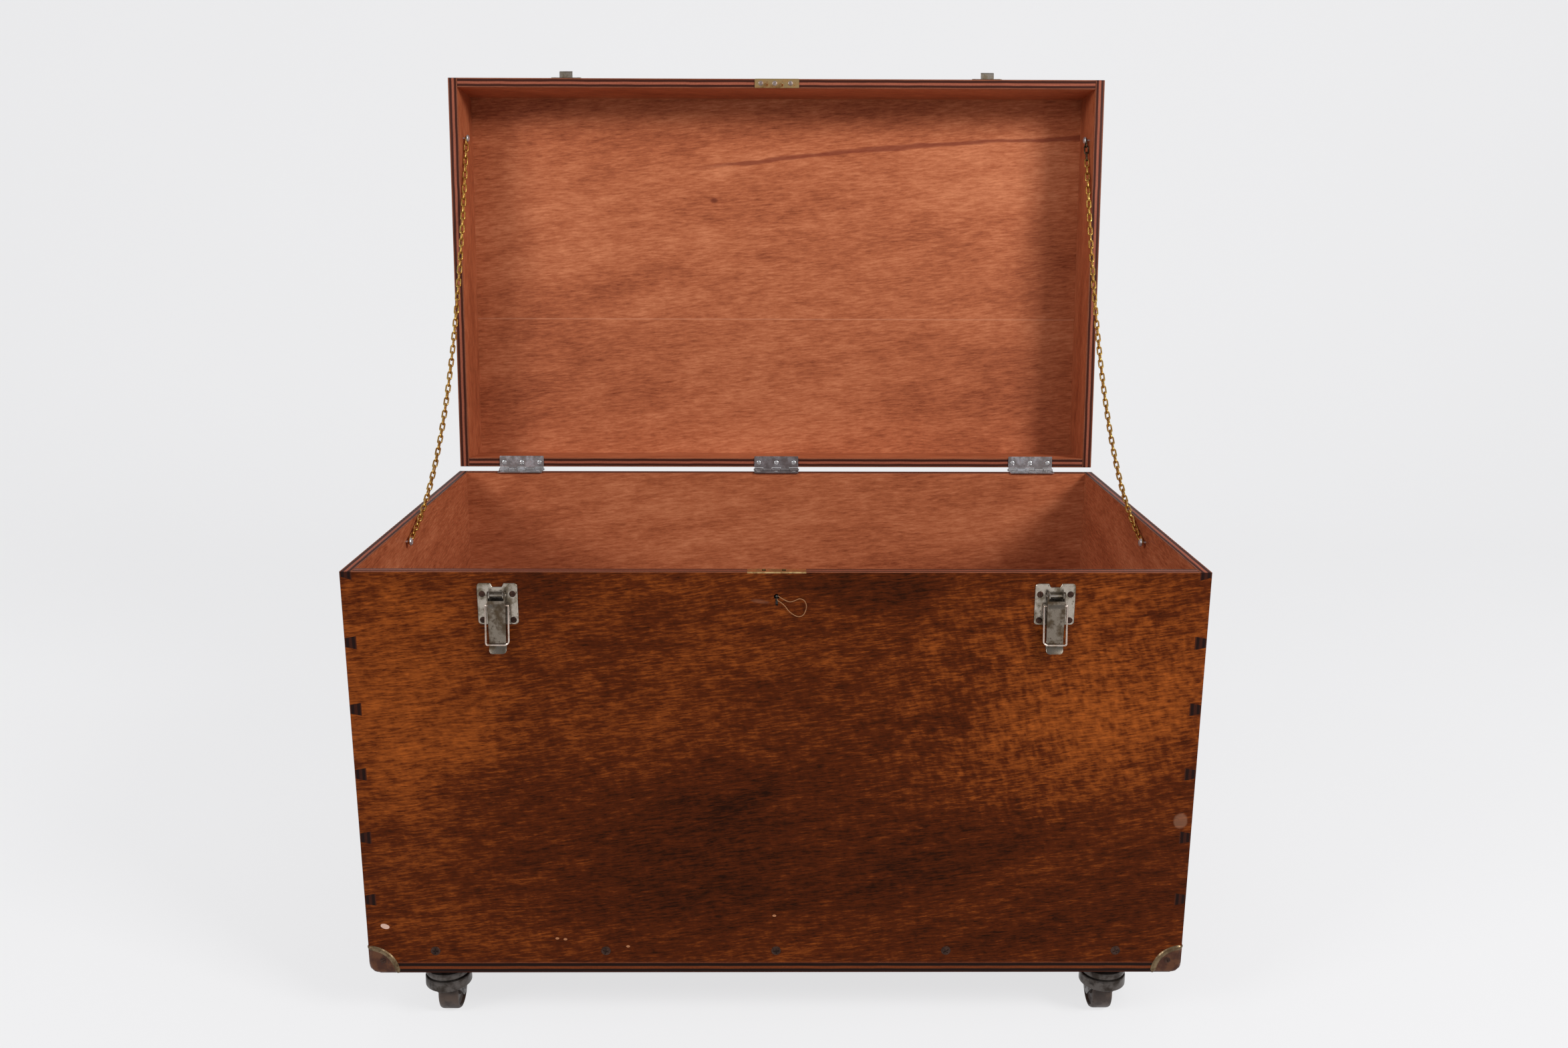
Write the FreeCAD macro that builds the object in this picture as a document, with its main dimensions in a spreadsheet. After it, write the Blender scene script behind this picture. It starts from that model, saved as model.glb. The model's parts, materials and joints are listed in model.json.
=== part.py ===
import FreeCAD, Part
import math
import os
import Sketcher

os.makedirs("parts", exist_ok=True)
doc = FreeCAD.newDocument("WoodenTrunk")

# Driving dimensions, in millimetres and degrees
driving = {
    "width": 914.0,
    "depth": 542.0,
    "wallheight": 456.3,
    "ply": 12.7,
    "lidheight": 86.0,
    "lidangle": 95.2,
    "rimgap": 3.4,
    "axisback": 3.7,
    "pinpitch": 75.0,
    "pinwide": 14.8,
    "pinnarrow": 10.0,
    "halfwide": 9.2,
    "halfnarrow": 5.6,
    "cleat": 22.0,
    "cornerradius": 34.0,
    "cornersheet": 1.2,
    "cornerledge": 0.7,
    "cornerscrew": 16.0,
    "rowrise": 14.8,
    "rowpitch": 191.0,
    "rowhead": 5.3,
    "rowproud": 1.0,
    "sidepitch": 180.0,
    "latchinset": 164.0,
    "latchdrop": 12.3,
    "latchwidth": 42.4,
    "latchtall": 45.0,
    "latchsheet": 1.2,
    "latchbevel": 3.5,
    "latchscrew": 16.0,
    "latchscrewtop": 11.6,
    "latchscrewlow": 5.0,
    "notchwidth": 10.8,
    "notchdeep": 4.0,
    "notchflare": 2.0,
    "leverpivotdrop": 24.0,
    "leverpivotout": 6.0,
    "leverhalf": 9.4,
    "leverlong": 62.0,
    "leverweb": 4.1,
    "levercurl": 3.5,
    "curltall": 8.0,
    "flangetip": 12.0,
    "flangetaper": 6.0,
    "flangeback": 3.0,
    "flangeroot": 15.0,
    "earhalf": 8.0,
    "earradius": 4.2,
    "eargap": 1.0,
    "pivotradius": 1.5,
    "pivothalf": 10.5,
    "bailpivotdown": 11.0,
    "baillong": 42.0,
    "bailhalf": 12.0,
    "wireradius": 1.05,
    "bailbend": 2.0,
    "bailrest": 0.35,
    "pivotclear": 0.1,
    "hookhalf": 9.0,
    "hookproud": 9.6,
    "hookthick": 1.4,
    "hooklip": 4.0,
    "hookseat": 0.3,
    "strikewidth": 42.0,
    "striketall": 13.0,
    "strikelift": 2.0,
    "strikebevel": 4.0,
    "strikescrew": 16.5,
    "tonguelift": 0.5,
    "keydrop": 27.0,
    "keyradius": 3.0,
    "keyslot": 2.6,
    "keytall": 10.0,
    "lockwidth": 62.0,
    "locktall": 46.0,
    "lockfront": 3.0,
    "locksheet": 1.2,
    "selvedge": 1.5,
    "stapleleft": 13.6,
    "stapleright": 7.5,
    "staplethick": 2.2,
    "staplewide": 4.6,
    "staplelong": 11.0,
    "stapleeye": 1.9,
    "stapletip": 1.3,
    "stapleroom": 1.0,
    "prongradius": 1.4,
    "boltslide": 7.0,
    "boltdrop": 11.0,
    "bolttall": 5.0,
    "boltend": 4.4,
    "drillradius": 1.3,
    "runclear": 0.3,
    "linkplate": 1.6,
    "linkscrewleft": 22.4,
    "linkscrewmiddle": 3.1,
    "linkscrewright": 18.9,
    "hingeinset": 89.0,
    "hingelong": 63.5,
    "hingescrew": 25.4,
    "leafsheet": 1.6,
    "leafinside": 3.0,
    "knuckleradius": 2.9,
    "knucklegap": 0.2,
    "hingepin": 1.3,
    "pinclear": 0.05,
    "pinend": 1.0,
    "chainpitch": 10.2,
    "chainwire": 2.2,
    "chainslack": 0.2,
    "chainopen": 3.0,
    "chainspare": 1.037,
    "chainoffwall": 4.4,
    "chainlidreach": 468.0,
    "chainliddeep": 28.0,
    "chainboxback": 205.0,
    "chainboxdrop": 20.0,
    "shankradius": 1.3,
    "domeradius": 5.0,
    "domeproud": 3.0,
    "domeclear": 0.15,
    "castorheight": 70.0,
    "castorside": 80.0,
    "castorfront": 30.0,
    "castorplate": 50.0,
    "castorsheet": 2.5,
    "neckradius": 20.0,
    "necktall": 4.0,
    "raceradius": 25.0,
    "racetall": 13.0,
    "crownradius": 26.0,
    "skirttall": 12.0,
    "legfront": 16.0,
    "wheelradius": 25.0,
    "wheelhalf": 11.5,
    "wheelclear": 0.6,
    "trail": 15.0,
    "axleradius": 3.0,
    "axleboss": 8.0,
    "handledrop": 150.0,
    "handleplate": 132.0,
    "handletall": 40.0,
    "handlesheet": 1.6,
    "handlebevel": 9.0,
    "handlescrew": 62.0,
    "handlelug": 48.0,
    "luglong": 4.0,
    "lugradius": 5.5,
    "lugfoot": 2.0,
    "handleaxisout": 7.0,
    "gripradius": 3.2,
    "griphalf": 57.0,
    "gripdrop": 42.0,
    "gripbend": 11.0,
    "screwradius": 3.4,
    "screwproud": 0.8,
    "twine": 0.9,
}
sheet = doc.addObject("Spreadsheet::Sheet", "Sizes")
for row, (alias, number) in enumerate(driving.items(), 1):
    sheet.set(f"A{row}", alias)
    sheet.set(f"B{row}", str(number))
    sheet.setAlias(f"B{row}", alias)
places = doc.addObject("Spreadsheet::Sheet", "Places")
doc.recompute()


class Size:
    """A number and the sheet expression that gives it, so that arithmetic keeps both."""

    def __init__(self, value, text):
        self.value = float(value)
        self.text = text

    def __add__(self, other):
        other = fixed(other)
        return Size(self.value + other.value, f"({self.text} + {other.text})")

    def __radd__(self, other):
        return fixed(other) + self

    def __sub__(self, other):
        other = fixed(other)
        return Size(self.value - other.value, f"({self.text} - {other.text})")

    def __rsub__(self, other):
        return fixed(other) - self

    def __mul__(self, other):
        other = fixed(other)
        return Size(self.value * other.value, f"({self.text} * {other.text})")

    def __rmul__(self, other):
        return fixed(other) * self

    def __truediv__(self, other):
        other = fixed(other)
        return Size(self.value / other.value, f"({self.text} / {other.text})")

    def __neg__(self):
        return fixed(0) - self


def fixed(number):
    return number if isinstance(number, Size) else Size(number, repr(float(number)))


def size(alias):
    return Size(driving[alias], f"Sizes.{alias}")


def sine(angle):
    return Size(math.sin(math.radians(angle.value)), f"sin({angle.text})")


def cosine(angle):
    return Size(math.cos(math.radians(angle.value)), f"cos({angle.text})")


placed = []


def place(alias, worked_out):
    """Keeps a worked-out place in its own sheet cell, under a name."""
    placed.append(alias)
    cell = f"B{len(placed)}"
    places.set(f"A{len(placed)}", alias)
    places.set(cell, f"={worked_out.text}")
    places.setAlias(cell, alias)
    return Size(worked_out.value, f"Places.{alias}")


# Places that several pieces share. The lid's own frame has its origin on the hinge axis and is drawn closed.
halfwidth = place("halfwidth", size("width") / 2)
inside = place("inside", halfwidth - size("ply"))
reach = place("lidreach", size("axisback") + size("depth"))
lidtall = place("lidtall", size("rimgap") / 2 + size("lidheight") + size("ply"))
leanback = place("leanback", lidtall * sine(size("lidangle")) - reach * cosine(size("lidangle")))
frontreach = place("frontreach", size("leverpivotout") + size("leverweb") + size("levercurl"))
front = place("front", (frontreach - size("depth") - size("axisback") - leanback) / 2)
back = place("back", front + size("depth"))
base = place("base", size("castorheight") + size("ply"))
rim = place("rim", base + size("wallheight"))
axisy = place("axisy", back + size("axisback"))
axisz = place("axisz", rim + size("rimgap") / 2)
lidfront = place("lidfront", -reach)
lidback = place("lidback", -size("axisback"))
lidrim = place("lidrim", size("rimgap") / 2)
lidceiling = place("lidceiling", lidrim + size("lidheight"))
rowz = place("rowz", base + size("rowrise"))
stapley = place("stapley", (size("lockfront") + size("ply")) / 2)
latchacross = place("latchacross", halfwidth - size("latchinset"))
hingeacross = place("hingeacross", halfwidth - size("hingeinset"))

nodes = []


def label(thing, name):
    thing.Label = name
    nodes.append(thing)
    return thing


def bind(thing, **sizes):
    for path, amount in sizes.items():
        thing.setExpression(path.replace("_", "."), fixed(amount).text)


def stand(thing, x=0, y=0, z=0):
    bind(thing, Placement_Base_x=x, Placement_Base_y=y, Placement_Base_z=z)
    return thing


def on_lid(thing):
    """Hangs a piece drawn closed, about the hinge axis, at the open angle."""
    thing.Placement = FreeCAD.Placement(
        FreeCAD.Vector(0, axisy.value, axisz.value),
        FreeCAD.Rotation(FreeCAD.Vector(1, 0, 0), -driving["lidangle"]),
    )
    bind(thing, Placement_Base_y=axisy, Placement_Base_z=axisz)
    thing.setExpression("Placement.Rotation.Angle", "-Sizes.lidangle")
    return thing


def body(name, lid=False):
    made = doc.addObject("PartDesign::Body", name)
    label(made, name)
    return on_lid(made) if lid else made


def new_sketch(made, plane, offset):
    """A sketch on one of the body's planes. XZ faces -Y, so its offset changes sign."""
    drawn = made.newObject("Sketcher::SketchObject", f"{made.Name}_outline")
    role = f"{plane}_Plane"
    drawn.AttachmentSupport = [(next(f for f in made.Origin.OriginFeatures if f.Role == role), "")]
    drawn.MapMode = "FlatFace"
    along = -fixed(offset) if plane == "XZ" else fixed(offset)
    drawn.AttachmentOffset = FreeCAD.Placement(FreeCAD.Vector(0, 0, along.value), FreeCAD.Rotation())
    drawn.setExpression("AttachmentOffset.Base.z", along.text)
    return drawn


def pin_point(drawn, geometry, end, x, y):
    """Fixes a point of the sketch at x, y from its origin."""
    for way, amount in (("DistanceX", fixed(x)), ("DistanceY", fixed(y))):
        index = drawn.addConstraint(Sketcher.Constraint(way, -1, 1, geometry, end, amount.value))
        drawn.setExpression(f"Constraints[{index}]", amount.text)


def draw_circle(drawn, x, y, radius):
    x, y, radius = fixed(x), fixed(y), fixed(radius)
    centre = FreeCAD.Vector(x.value, y.value, 0)
    ring = drawn.addGeometry(Part.Circle(centre, FreeCAD.Vector(0, 0, 1), radius.value), False)
    index = drawn.addConstraint(Sketcher.Constraint("Radius", ring, radius.value))
    drawn.setExpression(f"Constraints[{index}]", radius.text)
    pin_point(drawn, ring, 3, x, y)


def draw_outline(drawn, corners, closed=True):
    """Straight runs between corners (x, y) or (x, y, radius), with tangent arcs at the rounded ones."""
    spots = [FreeCAD.Vector(fixed(c[0]).value, fixed(c[1]).value, 0) for c in corners]
    radii = [fixed(c[2]) if len(c) > 2 else None for c in corners]
    count = len(corners)
    starts = list(spots)
    ends = list(spots)
    for i in range(count):
        if radii[i]:
            before = (spots[i - 1] - spots[i]).normalize()
            after = (spots[(i + 1) % count] - spots[i]).normalize()
            cut = radii[i].value / math.tan(before.getAngle(after) / 2)
            ends[i] = spots[i] + before * cut
            starts[i] = spots[i] + after * cut
    runs = count if closed else count - 1
    lines = []
    for i in range(runs):
        lines.append(drawn.addGeometry(Part.LineSegment(starts[i], ends[(i + 1) % count]), False))
    for i in range(count):
        inner = closed or 0 < i < count - 1
        if not inner:
            line, end = (lines[0], 1) if i == 0 else (lines[-1], 2)
            pin_point(drawn, line, end, corners[i][0], corners[i][1])
            continue
        arriving = lines[i - 1]
        leaving = lines[i]
        if not radii[i]:
            drawn.addConstraint(Sketcher.Constraint("Coincident", arriving, 2, leaving, 1))
            pin_point(drawn, leaving, 1, corners[i][0], corners[i][1])
            continue
        before = (ends[i] - spots[i]).normalize()
        after = (starts[i] - spots[i]).normalize()
        bisector = (before + after).normalize()
        half = (ends[i] - spots[i]).getAngle(bisector)
        centre = spots[i] + bisector * (radii[i].value / math.sin(half))
        left_turn = (after.cross(before)).z > 0
        first = 1 if left_turn else 2
        sweep = (ends[i], starts[i]) if left_turn else (starts[i], ends[i])
        angles = [math.atan2(tip.y - centre.y, tip.x - centre.x) for tip in sweep]
        ring = Part.Circle(centre, FreeCAD.Vector(0, 0, 1), radii[i].value)
        bend = drawn.addGeometry(Part.ArcOfCircle(ring, *angles), False)
        drawn.addConstraint(Sketcher.Constraint("Tangent", arriving, 2, bend, first))
        drawn.addConstraint(Sketcher.Constraint("Tangent", leaving, 1, bend, 3 - first))
        index = drawn.addConstraint(Sketcher.Constraint("Radius", bend, radii[i].value))
        drawn.setExpression(f"Constraints[{index}]", radii[i].text)
        mark = drawn.addGeometry(Part.Point(spots[i]), True)
        pin_point(drawn, mark, 1, corners[i][0], corners[i][1])
        drawn.addConstraint(Sketcher.Constraint("PointOnObject", mark, 1, arriving))
        drawn.addConstraint(Sketcher.Constraint("PointOnObject", mark, 1, leaving))


def draw(drawn, loops):
    for loop in loops:
        if loop[0] == "circle":
            draw_circle(drawn, *loop[1:])
        else:
            draw_outline(drawn, loop)


def rectangle(left, bottom, right, top):
    return [(left, bottom), (right, bottom), (right, top), (left, top)]


def bevelled(left, bottom, right, top, bevel):
    """A rectangle with its corners taken off, for sheet that repeats too often for round ones."""
    return [
        (left + bevel, bottom), (right - bevel, bottom), (right, bottom + bevel), (right, top - bevel),
        (right - bevel, top), (left + bevel, top), (left, top - bevel), (left, bottom + bevel),
    ]


def polygon(x, y, apothem, sides=8):
    """Corners of a regular polygon whose flats lie at the apothem, for what repeats too often to be round."""
    radius = fixed(apothem) / math.cos(math.pi / sides)
    turns = [2 * math.pi * (i + 0.5) / sides for i in range(sides)]
    return [(x + radius * math.cos(turn), y + radius * math.sin(turn)) for turn in turns]


def around(apothem, sides=8):
    """The flats of a hole in which a rod of the same many-sided section can turn."""
    return fixed(apothem) / math.cos(math.pi / sides) + size("pivotclear")


def pad(made, plane, low, high, *loops):
    """Fills the loops from low to high along the plane's own axis."""
    drawn = new_sketch(made, plane, low)
    draw(drawn, loops)
    solid = made.newObject("PartDesign::Pad", f"{made.Name}_pad")
    solid.Profile = drawn
    solid.Reversed = plane == "XZ"
    bind(solid, Length=fixed(high) - low)
    return solid


def pocket(made, plane, low, high, *loops):
    """Cuts the loops away from low to high along the plane's own axis."""
    drawn = new_sketch(made, plane, low)
    draw(drawn, loops)
    doc.recompute()
    before = made.Shape.Volume
    hole = made.newObject("PartDesign::Pocket", f"{made.Name}_pocket")
    hole.Profile = drawn
    hole.Reversed = plane != "XZ"
    bind(hole, Length=fixed(high) - low)
    doc.recompute()
    if made.Shape.Volume > before - 0.001:
        raise RuntimeError(f"a pocket of {made.Label} cuts nothing")
    return hole


def box(name, x, y, z, length, width, height):
    made = doc.addObject("Part::Box", name)
    bind(made, Length=length, Width=width, Height=height)
    return stand(made, x, y, z)


def cylinder(name, x, y, z, radius, length, axis=(0, 0, 1)):
    """A cylinder whose foot is at x, y, z and which points along axis."""
    made = doc.addObject("Part::Cylinder", name)
    made.Placement.Rotation = FreeCAD.Rotation(FreeCAD.Vector(0, 0, 1), FreeCAD.Vector(*axis))
    bind(made, Radius=radius, Height=length)
    return stand(made, x, y, z)


def prism(name, x, y, z, radius, length, axis=(0, 0, 1), sides=8):
    """A many-sided rod whose foot is at x, y, z and which points along axis."""
    made = doc.addObject("Part::Prism", name)
    made.Polygon = sides
    made.Placement.Rotation = FreeCAD.Rotation(FreeCAD.Vector(0, 0, 1), FreeCAD.Vector(*axis))
    bind(made, Circumradius=radius, Height=length)
    return stand(made, x, y, z)


def fuse(name, *pieces):
    made = doc.addObject("Part::MultiFuse", name)
    made.Shapes = list(pieces)
    return made


def cut(name, solid, *tools):
    made = doc.addObject("Part::Cut", name)
    made.Base = solid
    made.Tool = tools[0] if len(tools) == 1 else fuse(f"{name}_tools", *tools)
    return made


# Carcass boards, joined by through dovetails
wallpins = [base + size("wallheight") / 2 + size("pinpitch") * step for step in (-2, -1, 0, 1, 2)]
lidpins = [lidrim + size("lidheight") / 2]


def dovetails(side, low, high, centres):
    """The pins of one corner seen from the front, wide at the inner face, with half a pin at each end."""
    outer = halfwidth * side
    inner = inside * side
    loops = []
    for centre in centres:
        wide = size("pinwide") / 2
        narrow = size("pinnarrow") / 2
        loops.append([
            (inner, centre - wide), (outer, centre - narrow),
            (outer, centre + narrow), (inner, centre + wide),
        ])
    wide = size("halfwide")
    narrow = size("halfnarrow")
    loops.append([(inner, low), (outer, low), (outer, low + narrow), (inner, low + wide)])
    loops.append([(inner, high - wide), (outer, high - narrow), (outer, high), (inner, high)])
    return loops


def tail_board(name, near, low, high, centres, lid=False):
    board = body(name, lid)
    far = near + size("ply")
    pad(board, "XZ", near, far, rectangle(-halfwidth, low, halfwidth, high))
    pocket(board, "XZ", near, far, *dovetails(-1, low, high, centres), *dovetails(1, low, high, centres))
    return board


def pin_board(name, side, near, far, low, high, centres, lid=False):
    board = body(name, lid)
    left = -halfwidth if side < 0 else inside
    pad(board, "YZ", left, left + size("ply"), rectangle(near + size("ply"), low, far - size("ply"), high))
    pad(board, "XZ", near, far, *dovetails(side, low, high, centres))
    return board


front_panel = tail_board("front_panel", front, base, rim, wallpins)
tail_board("back_panel", back - size("ply"), base, rim, wallpins)
pin_board("left_end_panel", -1, front, back, base, rim, wallpins)
pin_board("right_end_panel", 1, front, back, base, rim, wallpins)


def corner_nose(name, side, end, proud=0):
    """What is planed off a bottom corner of the box, square to its diagonal, or that moved proud of it."""
    nose = size("ply") - size("cornerledge")
    deep = nose / 3 - proud / math.sqrt(3)
    y = front + deep if end < 0 else back - deep
    return cylinder(name, (halfwidth - deep) * side, y, size("castorheight") + deep, 2 * nose, 2 * nose,
                    axis=(side, end, -1))


foot = size("castorheight")
bottom = box("bottom_board", -halfwidth, front, foot, size("width"), size("depth"), size("ply"))
corners = [(side, end) for side in (-1, 1) for end in (-1, 1)]
noses = [corner_nose(f"bottom_nose_{i}", side, end) for i, (side, end) in enumerate(corners)]
label(cut("bottom_eased", bottom, *noses), "bottom_panel")

tail_board("lid_front_rail", lidfront, lidrim, lidceiling, lidpins, lid=True)
tail_board("lid_back_rail", lidback - size("ply"), lidrim, lidceiling, lidpins, lid=True)
pin_board("lid_left_rail", -1, lidfront, lidback, lidrim, lidceiling, lidpins, lid=True)
pin_board("lid_right_rail", 1, lidfront, lidback, lidrim, lidceiling, lidpins, lid=True)
lid_top = body("lid_top_panel", lid=True)
pad(lid_top, "XY", lidceiling, lidtall, rectangle(-halfwidth, lidfront, halfwidth, lidback))

# Cleats inside the bottom edge, which hold the row of screws
cleatspan = size("width") - 2 * size("ply")
cleatrun = size("depth") - 2 * size("ply") - 2 * size("cleat")
cleat = size("cleat")
label(box("front_cleat", -inside, front + size("ply"), base, cleatspan, cleat, cleat), "front_cleat")
label(box("back_cleat", -inside, back - size("ply") - cleat, base, cleatspan, cleat, cleat), "back_cleat")
label(box("left_cleat", -inside, front + size("ply") + cleat, base, cleat, cleatrun, cleat), "left_cleat")
right = inside - cleat
label(box("right_cleat", right, front + size("ply") + cleat, base, cleat, cleatrun, cleat), "right_cleat")

# The lock is let into the inner face of the front panel, with its selvedge flush in the rim
lockhalf = size("lockwidth") / 2
lockfloor = rim - size("locktall")
keyz = rim - size("keydrop")
lockback = front + size("ply")
lockfront = front + size("lockfront")
selvedge = rim - size("selvedge")
pocket(front_panel, "XZ", lockfront, lockback, rectangle(-lockhalf, lockfloor, lockhalf, rim))
pocket(front_panel, "XZ", front, lockfront, rectangle(-lockhalf, selvedge, lockhalf, rim))
pocket(front_panel, "XZ", front, lockfront, polygon(0, keyz, size("keyradius"), 12))
pocket(front_panel, "XZ", front, lockfront,
       rectangle(-size("keyslot") / 2, keyz - size("keytall"), size("keyslot") / 2, keyz))

hollow = size("locksheet")
hollowfront = lockfront + hollow
lockdeep = size("ply") - size("lockfront")
hollowdeep = lockdeep - 2 * hollow
case = fuse(
    "lock_shell",
    box("lock_box", -lockhalf, lockfront, lockfloor, size("lockwidth"), lockdeep, size("locktall")),
    box("lock_selvedge", -lockhalf, front, selvedge, size("lockwidth"), size("ply"), size("selvedge")),
)
staples = (-size("stapleleft"), size("stapleright"))
slotx = size("staplethick") / 2 + size("stapleroom")
sloty = size("staplewide") / 2 + size("stapleroom")
slotdeep = 2 * size("selvedge")
slots = [
    box(f"lock_slot_{i}", across - slotx, front + stapley - sloty, rim - slotdeep,
        2 * slotx, 2 * sloty, slotdeep)
    for i, across in enumerate(staples)
]
case = cut(
    "lock_hollowed",
    case,
    box("lock_hollow", hollow - lockhalf, hollowfront, lockfloor + hollow, size("lockwidth") - 2 * hollow,
        hollowdeep, size("locktall") - hollow - size("selvedge")),
    prism("lock_keyhole", 0, front, keyz, size("keyradius"), hollow + size("lockfront"), axis=(0, 1, 0)),
    *slots,
)
drill = prism("lock_drill_pin", 0, front + size("lockfront") / 2, keyz, size("drillradius"),
              size("ply") - size("lockfront") / 2 - hollow / 2, axis=(0, 1, 0))
label(fuse("lock_case", case, drill), "lock_case")

# The bolt has a prong for each staple and slides to the right to catch them
lock_bolt = body("lock_bolt")
prongz = rim + size("rimgap") - size("linkplate") - size("staplelong") + size("stapleeye") + size("stapletip")
bartop = rim - size("boltdrop")
run = size("runclear")
posts = [across - slotx - size("boltslide") for across in staples]
postwide = size("staplethick")
pad(lock_bolt, "XZ", hollowfront + run, hollowfront + hollowdeep - run,
    rectangle(posts[0] - size("boltend"), bartop - size("bolttall"), posts[1] + size("boltend"), bartop))
for post in posts:
    pad(lock_bolt, "XZ", front + stapley - size("staplewide") / 2, front + stapley + size("staplewide") / 2,
        rectangle(post - postwide, bartop - size("bolttall") / 2, post, prongz + size("prongradius")))
    pad(lock_bolt, "YZ", post - postwide / 2, post + size("boltslide"),
        polygon(front + stapley, prongz, size("prongradius")))


# A loop of thin twine left in the keyhole
def cord(name, points, thick):
    """A tube along straight runs joined by tangent arcs, each as wide as its two runs allow."""
    edges = []
    radii = []
    last = points[0]
    for i in range(1, len(points) - 1):
        before = points[i - 1] - points[i]
        after = points[i + 1] - points[i]
        cut_back = 0.45 * min(before.Length, after.Length)
        radius = cut_back / math.tan((math.pi - before.getAngle(after)) / 2)
        bisector = (before.normalize() + after.normalize()).normalize()
        start = points[i] + before * cut_back
        middle = points[i] + bisector * (math.hypot(cut_back, radius) - radius)
        end = points[i] + after * cut_back
        edges += [Part.LineSegment(last, start).toShape(), Part.Arc(start, middle, end).toShape()]
        radii.append(radius)
        last = end
    edges.append(Part.LineSegment(last, points[-1]).toShape())
    path = Part.Wire(edges)
    heading = (points[1] - points[0]).normalize()
    corners = [FreeCAD.Vector(x.value, y.value, 0) for x, y in polygon(fixed(0), fixed(0), thick / 2, 4)]
    turned = FreeCAD.Placement(points[0], FreeCAD.Rotation(FreeCAD.Vector(0, 0, 1), heading))
    section = Part.makePolygon([turned.multVec(corner) for corner in corners + corners[:1]])
    tube = path.makePipeShell([section], True, False)
    wanted = Part.Face(section).Area * path.Length
    if abs(tube.Volume / wanted - 1) > 0.02:
        raise RuntimeError(f"{name} holds {tube.Volume:.2f} and not {wanted:.2f}")
    made = doc.addObject("Part::Feature", name)
    made.Shape = tube
    print(f"{name}: {path.Length:.0f} mm, tightest bends {sorted(round(radius, 1) for radius in radii)[:4]}")
    return label(made, name)


# How far each point is to the right of the keyhole, out of the front and up
twineroute = [
    (1.6, -1.2, 0.8), (1.9, 3.0, 1.2), (7.5, 2.6, -2.4), (13.5, 1.6, -5.6), (19.0, 1.6, -4.0),
    (24.0, 2.2, -1.0), (29.4, 2.4, -3.2), (31.6, 2.0, -9.2), (30.6, 1.6, -15.2), (27.6, 1.4, -20.6),
    (22.4, 1.4, -21.8), (16.9, 1.4, -19.0), (12.0, 1.6, -14.6), (8.8, 2.0, -9.6), (4.6, 2.8, -5.6),
    (0.7, 3.0, -3.2), (0.4, -1.2, -2.6),
]
cord("twine_loop", [FreeCAD.Vector(x, front.value - out, keyz.value + z) for x, out, z in twineroute],
     driving["twine"])

# Link plate on the rim of the lid, with two pierced staples
link_plate = body("link_plate", lid=True)
pad(link_plate, "XY", lidrim - size("linkplate"), lidrim,
    rectangle(-lockhalf, lidfront, lockhalf, lidfront + size("ply")))
for across in staples:
    thick = size("staplethick") / 2
    wide = size("staplewide") / 2
    tip = lidrim - size("linkplate") - size("staplelong")
    pad(link_plate, "YZ", across - thick, across + thick,
        rectangle(lidfront + stapley - wide, tip, lidfront + stapley + wide, lidrim - size("linkplate") / 2))
pocket(link_plate, "YZ", -lockhalf, lockhalf,
       polygon(lidfront + stapley, tip + size("stapleeye") + size("stapletip"), size("stapleeye")))


# Butt hinges, each drawn about its own axis, with their screws sunk flush
leafmiddle = size("ply") / 2


def leaf(name, across, low, knuckles, lid):
    """A leaf from low up, notched for the other leaf's knuckles, with its own knuckles bored for the pin."""
    made = body(name, lid)
    half = size("hingelong") / 2
    step = size("hingelong") / 5
    inner = -(size("axisback") + size("ply") + size("leafinside"))
    notch = -(size("knuckleradius") + size("runclear"))
    gap = size("knucklegap") / 2
    corners = [(across - half, inner), (across + half, inner)]
    for knuckle in range(4, -1, -1):
        right = across - half + step * (knuckle + 1) - gap
        left = across - half + step * knuckle + gap
        if knuckle in knuckles:
            corners += [(right, notch), (right, 0), (left, 0), (left, notch)]
    edge = [(across + half, notch)] if 4 not in knuckles else []
    edge_end = [(across - half, notch)] if 0 not in knuckles else []
    pad(made, "XY", low, low + size("leafsheet"), corners[:2] + edge + corners[2:] + edge_end)
    for knuckle in knuckles:
        left = across - half + step * knuckle
        pad(made, "YZ", left + gap, left + step - gap, polygon(0, 0, size("knuckleradius")))
    bore = polygon(0, 0, size("hingepin") + size("pinclear"))
    pocket(made, "YZ", across - half - size("pinend"), across + half + size("pinend"), bore)
    sink = size("screwradius") + run
    screwline = -size("axisback") - leafmiddle
    sinks = [polygon(across + size("hingescrew") * step, screwline, sink, 6) for step in (-1, 0, 1)]
    pocket(made, "XY", low, low + size("leafsheet"), *sinks)
    return made


hinges = {"left": -hingeacross, "middle": fixed(0), "right": hingeacross}
for side, across in hinges.items():
    fixed_leaf = leaf(f"{side}_hinge_box_leaf", across, -size("rimgap") / 2, (0, 2, 4), lid=False)
    stand(fixed_leaf, 0, axisy, axisz)
    leaf(f"{side}_hinge_lid_leaf", across, size("rimgap") / 2 - size("leafsheet"), (1, 3), lid=True)
    pinlong = size("hingelong") + 2 * size("pinend")
    name = f"{side}_hinge_pin"
    label(cylinder(name, across - pinlong / 2, axisy, axisz, size("hingepin"), pinlong, axis=(1, 0, 0)), name)


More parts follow.
